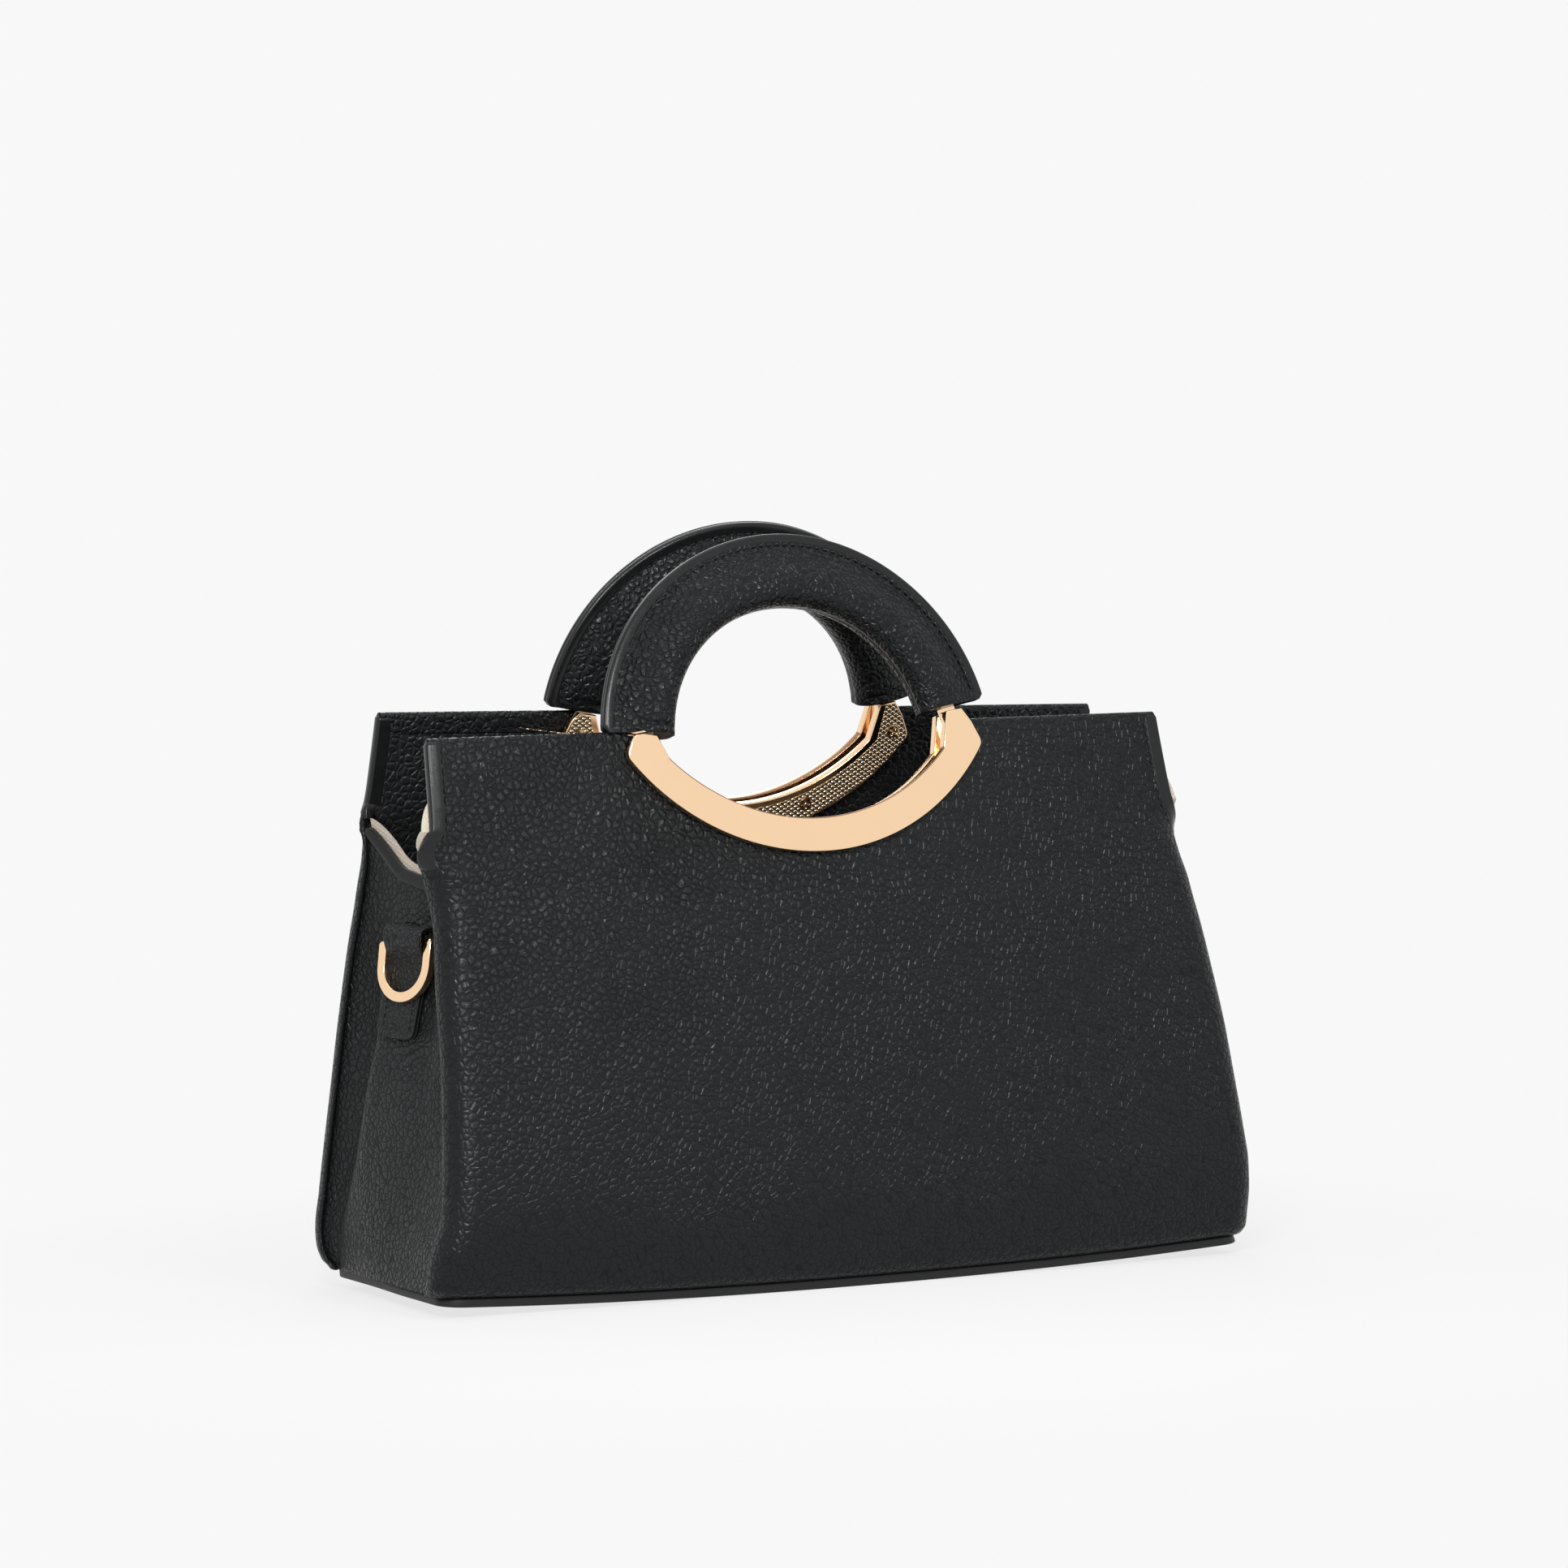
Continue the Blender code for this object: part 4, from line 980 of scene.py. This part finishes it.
def make_wing_edges(wall):
    """Smooth band round each side edge of the wall above the end walls, and its stitches."""
    foot = WING_LOW[wall.name]
    insets = np.linspace(BAND, 0, 11)
    rise = 0.45 * (1 - (insets / BAND) ** 6) - 0.12
    for label, side in SIDES:
        z = np.linspace(foot, WALL_TOP - 0.7, 54)
        face = wall.strip(side, z, insets)
        normals = grid_normals(face, wall.outward)
        away = unit(face[:, -1] - face[:, -2])
        outer = face + normals * rise[:, None]
        inner = face - normals * (PACK + 0.1 + rise)[:, None]
        middle = (outer[:, -1] + inner[:, -1]) / 2
        half = np.linalg.norm(outer[:, -1] - inner[:, -1], axis=1)[:, None] / 2
        rim = [middle + normals[:, -1] * half * math.cos(a) + away * 1.05 * math.sin(a) ** 0.7
               for a in np.radians(np.arange(15, 180, 15))]
        loop = np.concatenate([outer, np.stack(rim, 1), inner[:, ::-1]], 1)
        to_top, to_foot = ramp(z, WALL_TOP - 2.4, WALL_TOP - 0.7), ramp(z, foot + 2.5, foot)
        plump = np.sqrt(1 - np.minimum(to_top, 0.96) ** 2) * (1 - 0.6 * to_foot)
        core = loop.mean(1, keepdims=True)
        loop = core + (loop - core) * plump[:, None, None]
        ride(tube(f"{wall.name}_{label}_edge_paint", loop, [edge_paint], sharp=50), wall.name)
        z = np.linspace(foot + 5, WALL_TOP - 3.5, 34)
        path = wall.surface(side * wall.roll_share(z, BAND + 0.35), z)
        normal = unit(np.tile(np.array((0.0, wall.sign, 0.2)), (len(z), 1)))
        for row, depth, way in (("edge", 0.0, 1), ("inner", PACK + 0.1, -1)):
            sewn = stitch_row(f"{wall.name}_{label}_{row}_stitches", path - normal * depth,
                              normal * way, 3.0, 2.1, 0.36)
            ride(sewn, wall.name)


def make_lining_slips(wall):
    """Slip of lining that shows past each side edge of the wall, above the end's binding."""
    for label, side in SIDES:
        z = np.linspace(SLIP_LOW, SLIP_HIGH, 18)
        face = wall.strip(side, z, np.linspace(SLIP_DEEP, 0, 7))
        normals = grid_normals(face, wall.outward)
        away = unit(face[:, -1] - face[:, -2])
        proud = 0.9 + 2.5 * np.sin(np.pi * np.linspace(0.05, 1, 18)) ** 0.8
        reach = proud[:, None] * np.linspace(0.25, 1, 4)
        past = face[:, -1:] + away[:, None] * reach[..., None]
        normals = np.concatenate([normals, np.repeat(normals[:, -1:], 4, 1)], 1)
        grid = np.concatenate([face, past], 1) - normals * (PACK - 1.0)
        slip = soft_sheet(f"{wall.name}_{label}_lining_slip", grid, normals, CLOTH,
                          [cream_lining] * 3)
        ride(slip, wall.name)


# End walls
def fold_half(z):
    """Half width of the bag at the folds of its ends."""
    waist = level(WAIST_Z)[0] - WAIST_FOLD
    share = (z - WAIST_Z) / (MOUTH_MIDDLE - WAIST_Z)
    above = waist + (TOP_LENGTH / 2 - MOUTH_FOLD - waist) * share
    below = level(z)[0] - WAIST_FOLD * through(z, LEVEL_HEIGHTS[:9], FOLD_SHARES)
    return np.where(z >= WAIST_Z, above, below)


def facet_half(z, wall):
    """Half width of the facet between the folds, triangular at the foot."""
    narrow = TAB_WIDTH / 2 + FOLD_CLEARANCE[wall.name]
    return FOOT_FACET + (narrow - FOOT_FACET) * ramp(z, SEAT_Z, WAIST_Z)


def end_row(side, seam_z, fold_z):
    """Points across an end wall, from the front seam round the folds to the back seam."""
    t = np.linspace(0, 1, 17)[:, None]
    halves = []
    for wall in (front, back):
        z = (fold_z + wall.lift(fold_z)) / 2
        y = wall.sign * facet_half(fold_z, wall)
        x, depth = wall.seam(seam_z)
        start = np.array((x, wall.sign * depth, wall.lift(seam_z)))
        start = start + MOUTH_LAP[wall.name] * ramp(seam_z, 128, SEAM_TOP_Z) ** 2
        facing_front = math.tan(TAB_YAW) * ramp(z, 0, WAIST_Z) ** 2
        fold = np.array((fold_half(z) + facing_front * y, y, z))
        middle = np.array((fold_half(fold_z), 0.0, fold_z))
        run = start + (fold - start) * t
        hollow = through(seam_z, HOLLOW_HEIGHTS, HOLLOWS[wall.name])
        run[:, 0] -= hollow * np.sin(math.pi * t[:, 0]) ** 1.5
        halves.append(np.concatenate([run, fold + (middle - fold) * t[1:]]))
    row = np.concatenate([halves[0], halves[1][-2::-1]])
    to_corner = ramp(np.linspace(0, 1, len(row)), 0.93, 1) ** 2
    row[:, 2] -= 2.0 * to_corner * ramp(seam_z, 144, SEAM_TOP_Z)
    return row * np.array((side, 1, 1))


def end_grid(side, bottom, drop):
    """Grid of an end wall from a height up to its mouth less a drop."""
    rows = [end_row(side, z, z) for z in np.linspace(bottom, DIP_Z, 60)]
    for share in np.linspace(0, 1, 13)[1:]:
        tops = (SEAM_TOP_Z - drop, MOUTH_MIDDLE - drop)
        rows.append(end_row(side, *(DIP_Z + (top - DIP_Z) * share for top in tops)))
    return soften(np.array(rows))


def soften(grid):
    """Round the folds across each row: tight at the back fold, easy toward the front seam."""
    spot = np.linspace(0, 1, grid.shape[1])
    ease = np.interp(spot, (0, 0.08, 0.3, 0.5, 0.68, 0.8, 0.93, 1),
                     (0, 0.5, 0.5, 0.35, 0.08, 0.06, 0.35, 0))[1:-1, None]
    for _ in range(34):
        mean = (grid[:, :-2] + grid[:, 2:]) / 2
        grid[:, 1:-1] += (mean - grid[:, 1:-1]) * ease
    return grid


def cross_joint(obj, wall, *nodes):
    """Bake the place of half of an end wall into its mesh, and hide the imported nodes that it
    stands for; the wall that it is sewn to is not used.
    """
    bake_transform(obj)
    if nodes:
        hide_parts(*nodes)


def make_end(label, side):
    """End wall, the binding of its mouth and its lining, each in a front and a back half."""
    outward = (side, 0.0, 0.0)
    leather = end_grid(side, SEAT_Z, BINDING + 0.1)
    normals = grid_normals(leather, outward)
    y, z = leather[..., 1], leather[..., 2]
    columns = leather.shape[1]
    spot = np.linspace(0, 1, columns)
    calm = ramp(z, 8, 28) * ramp(z, 125, 100) * np.sin(np.pi * spot) ** 0.5
    leather = leather + normals * (swell(21 + side, y, z, 45, 0.9) * calm)[..., None]
    stretched = 0.8 * ramp(np.abs(spot - 0.22), 0.14, 0) * ramp(z, 20, 50)
    binding = soften(np.array([end_row(side, SEAM_TOP_Z - drop, MOUTH_MIDDLE - drop)
                               for drop in np.linspace(BINDING, 0, 6)]))
    bead_normals = grid_normals(binding, outward)
    taper = np.clip((1 - spot) / 0.05, 0.5, 1)[:, None]
    bulge = np.sin(np.linspace(0, math.pi, 6))[:, None, None] ** 0.6
    binding = binding[:1] + (binding - binding[:1]) * taper + bead_normals * (0.25 + 0.55 * bulge)
    lining = end_grid(side, 8.0, BINDING - 4.6)
    cloth_normals = grid_normals(lining, outward)
    lining = lining - cloth_normals * (LEATHER + GAP + 0.9)
    rows = len(lining)
    to_mouth = ramp(np.arange(rows), rows - 9, rows - 1)[:, None]
    stand = np.sin(np.pi * ramp(spot, 0.52, 1.02) ** 1.4) ** 0.8
    lining[..., 2] += 3.0 * to_mouth ** 1.5 * stand
    middle, trim = columns // 2, 2
    for wall, part, inner, keep in (
            (front, slice(0, middle + 1), slice(trim, middle + 1), slice(3, -1)),
            (back, slice(middle, None), slice(middle, columns - trim), slice(1, -3))):
        half = f"{label}_{wall.name}_half"
        piece = soft_sheet(f"end_{half}", leather[:, part], normals[:, part], LEATHER,
                           [end_leather] * 3, stretched[:, part], END_DOME)
        cross_joint(piece, wall, f"gusset_{label}")
        bead = soft_sheet(f"mouth_binding_{half}", binding[:, part], bead_normals[:, part],
                          LEATHER + 1.1, [binding_leather] * 3, dome=END_DOME)
        cross_joint(bead, wall, f"gusset_binding_{label}")
        flat = lining[:, inner]
        cloth = soft_sheet(f"end_lining_{half}", flat, cloth_normals[:, inner], CLOTH,
                           [cream_lining] * 3, dome=END_DOME)
        cross_joint(cloth, wall, f"gusset_lining_{label}")
        outer_normals = bead_normals[0, part]
        row = binding[0, part] - outer_normals * 0.6 - np.array((0, 0, 2.2))
        sewn = stitch_row(f"mouth_stitches_{half}", row[keep], outer_normals[keep], 2.9, 2.1, 0.3)
        cross_joint(sewn, wall)


# Ring tabs and rings
def bar_plane(side):
    """Plane through a ring's bar: right across the strap, up it and out of it."""
    half = float(fold_half(RING_Z))
    slope = (float(fold_half(RING_Z - TAB_DROP)) - half) / TAB_DROP
    out = unit(np.array((side, -math.tan(TAB_YAW), slope)))
    right = unit(np.array((math.tan(TAB_YAW), side, 0.0)))
    origin = np.array((side * half, 0.0, RING_Z)) + out * (LOOP_RADIUS + GAP)
    return Plane(origin, right, np.cross(out, right), out)


def make_tab(label, side, plane):
    """Strap that goes up the end wall, round the ring's bar and down again, and its stitches."""
    lean = plane.leaning(side * TAB_LEAN, proud=TAB_PROUD)
    front_ply = 2 * STRAP - LOOP_RADIUS
    track = [(front_ply, y) for y in np.linspace(-STRAP_DROP, -7, 40)]
    track += [(front_ply + (LOOP_RADIUS - front_ply) * (1 - math.cos(t)) / 2,
               -7 + (LOOP_SLACK + 7) * t / math.pi) for t in np.linspace(0, math.pi, 14)[1:]]
    track += list(arc((0.0, LOOP_SLACK), LOOP_RADIUS, 0, 180, 22)[1:])
    track += [(-LOOP_RADIUS, y) for y in np.linspace(LOOP_SLACK, -STRAP_DROP, 46)[1:]]
    track = np.array(track)
    run = np.concatenate([[0], np.cumsum(np.linalg.norm(np.diff(track, axis=0), axis=1))])
    along = np.gradient(track, axis=0)
    out = unit(np.stack([along[:, 1], -along[:, 0]], 1))
    half = TAB_WIDTH / 2 - corner_cut(np.minimum(run, run[-1] - run), 3.2)
    grid = lean.place(np.linspace(-1, 1, 21) * half[:, None], track[:, 1:], track[:, :1])
    normals = np.broadcast_to((lean.out * out[:, :1] + lean.up * out[:, 1:])[:, None], grid.shape)
    obj = soft_sheet(f"ring_tab_{label}_strap", grid, normals, STRAP - 0.1,
                     [tab_leather, tab_leather, edge_paint], settles=False)
    ride(tidied(obj), "base", f"ring_tab_{label}")
    edge, low = TAB_WIDTH / 2 - 2.2, 2.4 - STRAP_DROP
    down = np.linspace(-8.5, low, 12)
    seam = [(-edge, y) for y in down] + [(x, low) for x in np.linspace(-edge, edge, 9)[1:-1]]
    seam = np.array(seam + [(edge, y) for y in down[::-1]])
    sewn = stitch_row(f"ring_tab_{label}_stitches", lean.place(*seam.T, front_ply),
                      np.tile(plane.out, (len(seam), 1)), 2.6, 1.9, 0.27, settles=False)
    ride(sewn, "base")


def make_ring(label, side, plane):
    """D-ring that hangs from its bar and rests on the strap."""
    bar = RING_BAR / 2
    stand_off = 2 * STRAP + GAP - LOOP_RADIUS + bar
    tilt = -math.asin(stand_off / (RING_DROP - RING_BAR))
    hang = plane.leaning(-side * RING_LEAN, RING_LIFT).tilted(tilt)
    drop = RING_WIDTH / 2 - RING_DROP
    outlines = []
    for inset, band in ((0.0, 0.0), (RING_BAR, RING_BAR + 0.5)):
        half, top, corner = RING_WIDTH / 2 - band, bar - inset, max(bar - inset, 0.4)
        ends = rounded([(half, top, corner), (-half, top, corner),
                        (-half, drop, 0.0), (half, drop, 0.0)])[:-2]
        outlines.append(list(ends) + list(arc((0.0, drop), half, 180, 360, 40)))
    ring = bevelled_plate(f"ring_{label}_loop", outlines, hang, -bar, bar, 0.55, ring_gold,
                          settles=False)
    ride(ring, f"ring_{label}", f"ring_{label}")


# Plates and screws
def make_plates(wall):
    """Polished crescent outside the wall, the knurled one inside it and its screws."""
    outline = crescent(half_crescent, wall)
    plate = bevelled_plate(f"{wall.name}_crescent", [outline], wall.seat, PLATE_SEAT,
                           PLATE_SEAT + PLATE_THICK, PLATE_BEVEL, rose_gold)
    shade_inner_edge(plate)
    ride(plate, wall.name, f"{wall.name}_plate")
    face = -PLATE_SEAT - INNER_PLATE_THICK
    inner = bevelled_plate(f"{wall.name}_inner_crescent", [outline], wall.seat, face, -PLATE_SEAT,
                           PLATE_BEVEL, rose_gold)
    mesh = bevelled_plate(f"{wall.name}_crescent_mesh", [crescent(half_mesh, wall)], wall.seat,
                          face - 0.12, face + 0.6, 0.1, lightened_mesh_gold)
    ride(mesh, wall.name)
    ride(inner, wall.name, f"{wall.name}_inner_plate")
    for index, (x, y) in enumerate(SCREWS, start=1):
        make_screw(wall, index, x, y, face)


def shade_inner_edge(plate):
    """Painted dark reflection on the bevel round the hand opening: a darker gold there, a little
    rougher than the plate.
    """
    mesh = plate.data
    mesh.materials.append(shaded_edge_gold.material)
    middle, radius = sagging(*INNER_ARC, 4)[1:]
    lay = np.empty(3 * len(mesh.vertices), np.float32)
    mesh.attributes["lay"].data.foreach_get("vector", lay)
    lay = lay.reshape(-1, 3)
    for face, broad in zip(mesh.polygons, broad_faces(mesh)):
        x, y = lay[list(face.vertices)].mean(0)[:2]
        if not broad and y < -2.5 and abs(math.hypot(x, y - middle) - radius) < 0.55:
            face.material_index = 1


def make_screw(wall, index, x, y, face):
    """Pan head with a cross recess, set in the inner plate."""
    radii = np.array((0.0, 0.25, 0.45, 0.6, 0.8, 1.0, 1.25, 1.5, 1.75, 1.95, 2.15, 2.3, 2.4, 2.4))
    spokes = 64
    turn = 0.5 * index
    r, a = np.meshgrid(radii, np.arange(spokes) / spokes * 2 * math.pi, indexing="ij")
    dome = 0.75 * np.sqrt(np.clip(1 - (r / 2.75) ** 2, 0, 1)) - 0.25
    dx, dy = np.abs(r * np.cos(a)), np.abs(r * np.sin(a))
    slot = np.minimum(np.maximum(dx / 0.34, dy / 1.35), np.maximum(dy / 0.34, dx / 1.35))
    height = dome - 0.7 * ramp(slot, 1.25, 0.85)
    height[-1] = -1.2
    points = wall.seat.place(x + r * np.cos(a + turn), y + r * np.sin(a + turn), face - height)
    under = (len(radii) - 1) * spokes
    faces = ring_quads(len(radii), spokes) + [tuple(range(under, under + spokes))]
    obj = new_piece(f"{wall.name}_cross_screw_{index}", points.reshape(-1, 3), faces, [screw_gold],
                    sharp=50)
    ride(tidied(obj, weld=True), wall.name, f"{wall.name}_screw_{index}")


# Handles
def make_sleeve(wall, label, flip):
    """Padded half of a handle: pad, stitched flange and painted edge, swept round the arch."""
    start, end = np.radians(HANDLE_ENDS[wall.name])
    angle = np.linspace(start, end, 150)
    near = np.minimum(angle - start, end - angle) * LEG_RADIUS
    fine = np.linspace(0, len(PAD) - 1, 58)
    radius, offset = (np.interp(fine, np.arange(len(PAD)), column) for column in PAD.T)
    for line in (radius, offset):
        for _ in range(3):
            line[1:-1] += ((line[:-2] + line[2:]) / 2 - line[1:-1]) * 0.4
    r = radius - corner_cut(near, 1.6)[:, None] * ramp(radius, 64, 73)
    puff = 1 - 0.2 * np.exp(-near / 1.4) - 0.14 * np.exp(-((near - 3.0) / 1.0) ** 2)
    wave = 1 + swell(31 + flip, angle * 60, 0 * angle, 30, 0.03)
    body = ramp(offset, 2.4, 5.4)
    n = offset * (1 - body + body * (puff * wave)[:, None])
    under = np.linspace(radius[-1], radius[0], 12)[1:-1]
    cosine, sine = np.cos(angle)[:, None], np.sin(angle)[:, None]
    grid = wall.seat.place(r * cosine, HANDLE_RISE + r * sine, flip * n)
    flat = wall.seat.place(under * cosine, HANDLE_RISE + under * sine, flip * 0.15)
    loop = np.concatenate([grid, flat], axis=1)
    edge = [1 if j < 2 or value > 70.0 else 0 for j, value in enumerate(radius)] + [0] * len(under)
    flange = 0.75 * ramp(radius, 67.5, 69)
    hem = np.exp(-near / 1.5)[:, None] * 0.6
    bend = math.radians(115)
    plump_leg = (0.9 if wall is front else 0.0) * ramp(angle, bend, bend + 0.5)[:, None]
    tight = np.clip(flange + hem, 0, 1) - plump_leg * (1 - flange)
    tight = np.concatenate([tight, np.ones((len(angle), len(under)))], axis=1)
    obj = tube(f"{wall.name}_{label}_pad", loop, [handle_leather, edge_paint], sharp=45,
               face_paints=edge * (len(angle) - 1) + [1, 1], kept={"stretched": tight.ravel()})
    ride(obj, wall.name, f"{wall.name}_sleeve_{label}")
    turn = np.linspace(start + 0.05, end - 0.05, 120)
    path = wall.seat.place(SEWN_RADIUS * np.cos(turn), HANDLE_RISE + SEWN_RADIUS * np.sin(turn),
                           flip * 2.3)
    sewn = stitch_row(f"{wall.name}_{label}_pad_stitches", path,
                      np.tile(flip * wall.seat.out, (len(turn), 1)), 3.0)
    ride(sewn, wall.name)


# Base
def make_base():
    half_x, half_y = SOLE_HALF
    outline = rounded([(sx * half_x, sy * half_y, 8.0)
                       for sx, sy in ((-1, -1), (1, -1), (1, 1), (-1, 1))], 10)
    table = Plane(np.zeros(3), *np.eye(3))
    sole = bevelled_plate("stitched_sole", [stepped(outline, 5.0)], table, 0.0, SOLE_THICK, 0.7,
                          sole_leather)
    ride(sole, "base", "base_sole")
    half_x, half_y = BASE_LINING_HALF
    x, y = np.meshgrid(np.linspace(-half_x, half_x, 90), np.linspace(-half_y, half_y, 36))
    edge = np.minimum(half_x - np.abs(x), half_y - np.abs(y))
    grid = np.stack([x, y, BASE_LINING_Z + swell(5, x, y, 60, 0.12) * ramp(edge, 0, 12)], -1)
    obj = soft_sheet("base_woven_lining", grid, grid_normals(grid, (0, 0, 1)), 0.75,
                     [cream_lining] * 3)
    ride(obj, "base", "base_lining")


def dress_nodes():
    """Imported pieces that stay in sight, moved with the settled bag and finished."""
    for name, body, paint, shift in (("base_board", "base", grey_board, 0.0),
                                     ("front_handle_core", "front", rose_gold, FRONT_SET_SHIFT),
                                     ("back_handle_core", "back", rose_gold, BACK_SET_SHIFT)):
        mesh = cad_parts[name].data
        points = np.array([v.co for v in mesh.vertices]) / MM + np.array((shift, 0, 0))
        faces = [tuple(p.vertices) for p in mesh.polygons]
        ride(new_piece(f"{name}_dressed", points, faces, [paint], sharp=25), body, name)


# Stage
def make_world():
    """Plain light on the bag, and a pale surround where the camera or a reflection sees it."""
    world = bpy.data.worlds.new("pale studio")
    bpy.context.scene.world = world
    world.use_nodes = True
    nodes = Nodes(world.node_tree)
    ground = world.node_tree.nodes["Background"]
    rays = nodes.add("ShaderNodeLightPath", output="Is Camera Ray")
    seen = rays.at_least(rays.other("Is Glossy Ray")).at_least(rays.other("Is Transmission Ray"))
    strength = nodes.add("ShaderNodeMapRange", None, {"Value": seen, "To Min": 0.5, "To Max": 1.0})
    nodes.put(PALE, ground.inputs["Color"])
    nodes.put(strength, ground.inputs["Strength"])


def make_floor():
    """Floor that keeps the shadow near the bag and melts into the surround further out."""
    paint = Paint("pale floor", "", Roughness=0.9, Specular_IOR_Level=0.0,
                  Base_Color=(0.86, 0.86, 0.86, 1.0))
    away = paint.vectors("LENGTH", {0: paint.place()}, "Value")
    rays = paint.add("ShaderNodeLightPath", output="Is Camera Ray")
    seen = rays + rays.other("Is Glossy Ray") + rays.other("Is Transmission Ray")
    plain = away.between(150.0, 400.0, 0.8, 1.0) * seen
    glow = paint.add("ShaderNodeEmission", None, {"Color": PALE, "Strength": 1.0})
    lit = Value(paint, paint.shader.outputs[0])
    mix = paint.add("ShaderNodeMixShader", None, {0: plain, 1: lit, 2: glow})
    paint.put(mix, paint.tree.nodes["Material Output"].inputs["Surface"])
    size, low = 6000.0, -0.05
    corners = [(-size, -size, low), (size, -size, low), (size, size, low), (-size, size, low)]
    new_piece("pale_floor", corners, [(0, 1, 2, 3)], [paint], settles=False)


def softbox(name, place, target, size, power):
    light = bpy.data.lights.new(name, "AREA")
    light.shape = "RECTANGLE"
    light.size, light.size_y = size
    light.energy = power
    obj = bpy.data.objects.new(name, light)
    obj.location = place
    aim = Vector(target) - Vector(place)
    obj.rotation_euler = aim.to_track_quat("-Z", "Y").to_euler()
    obj.visible_camera = False
    bpy.context.scene.collection.objects.link(obj)


def make_camera():
    """Camera at the photograph's place and angle."""
    yaw, pitch, roll = (math.radians(angle) for angle in CAMERA_ANGLES)
    forward = Vector((math.sin(yaw) * math.cos(pitch), math.cos(yaw) * math.cos(pitch),
                      -math.sin(pitch)))
    right = Vector((math.cos(yaw), -math.sin(yaw), 0.0))
    up = right.cross(forward)
    right, up = (right * math.cos(roll) + up * math.sin(roll),
                 up * math.cos(roll) - right * math.sin(roll))
    camera = bpy.data.cameras.new("photo camera")
    camera.lens = FOCAL_PIXELS / PHOTO_PIXELS * SENSOR
    camera.sensor_width = SENSOR
    camera.sensor_fit = "HORIZONTAL"
    camera.clip_end = 50
    obj = bpy.data.objects.new("photo camera", camera)
    turn = Matrix((right, up, -forward)).transposed()
    obj.matrix_world = Matrix.Translation(CAMERA_PLACE) @ turn.to_4x4()
    bpy.context.scene.collection.objects.link(obj)
    bpy.context.scene.camera = obj


make_base()
for wall in (front, back):
    make_wall(wall)
    make_facing(wall)
    make_wall_lining(wall)
    make_wing_edges(wall)
    make_plates(wall)
    make_sleeve(wall, "outer", 1)
    make_sleeve(wall, "inner", -1)
for label, side in SIDES:
    make_end(label, side)
    bar = bar_plane(side)
    make_tab(label, side, bar)
    make_ring(label, side, bar)
make_lining_slips(front)
dress_nodes()
make_world()
make_floor()
# name, place, target and size in metres, power in watts
for lamp in (("left key", (-0.64, -1.02, 0.74), (0, 0, 0.13), (0.28, 0.28), 9),
             ("high front", (-0.04, -0.44, 0.4), (-0.1, -0.03, 0.17), (0.09, 0.08), 0.8),
             ("front fill", (0.35, -1.0, 1.8), (0, 0, 0.1), (0.8, 0.6), 1.0),
             ("overhead", (0.0, 0.12, 1.7), (0, 0, 0.1), (1.0, 0.8), 4),
             ("rear fill", (0.4, 1.5, 1.0), (0, 0, 0.1), (0.9, 0.7), 6)):
    softbox(*lamp)
make_camera()
bpy.context.scene.view_settings.view_transform = "Standard"
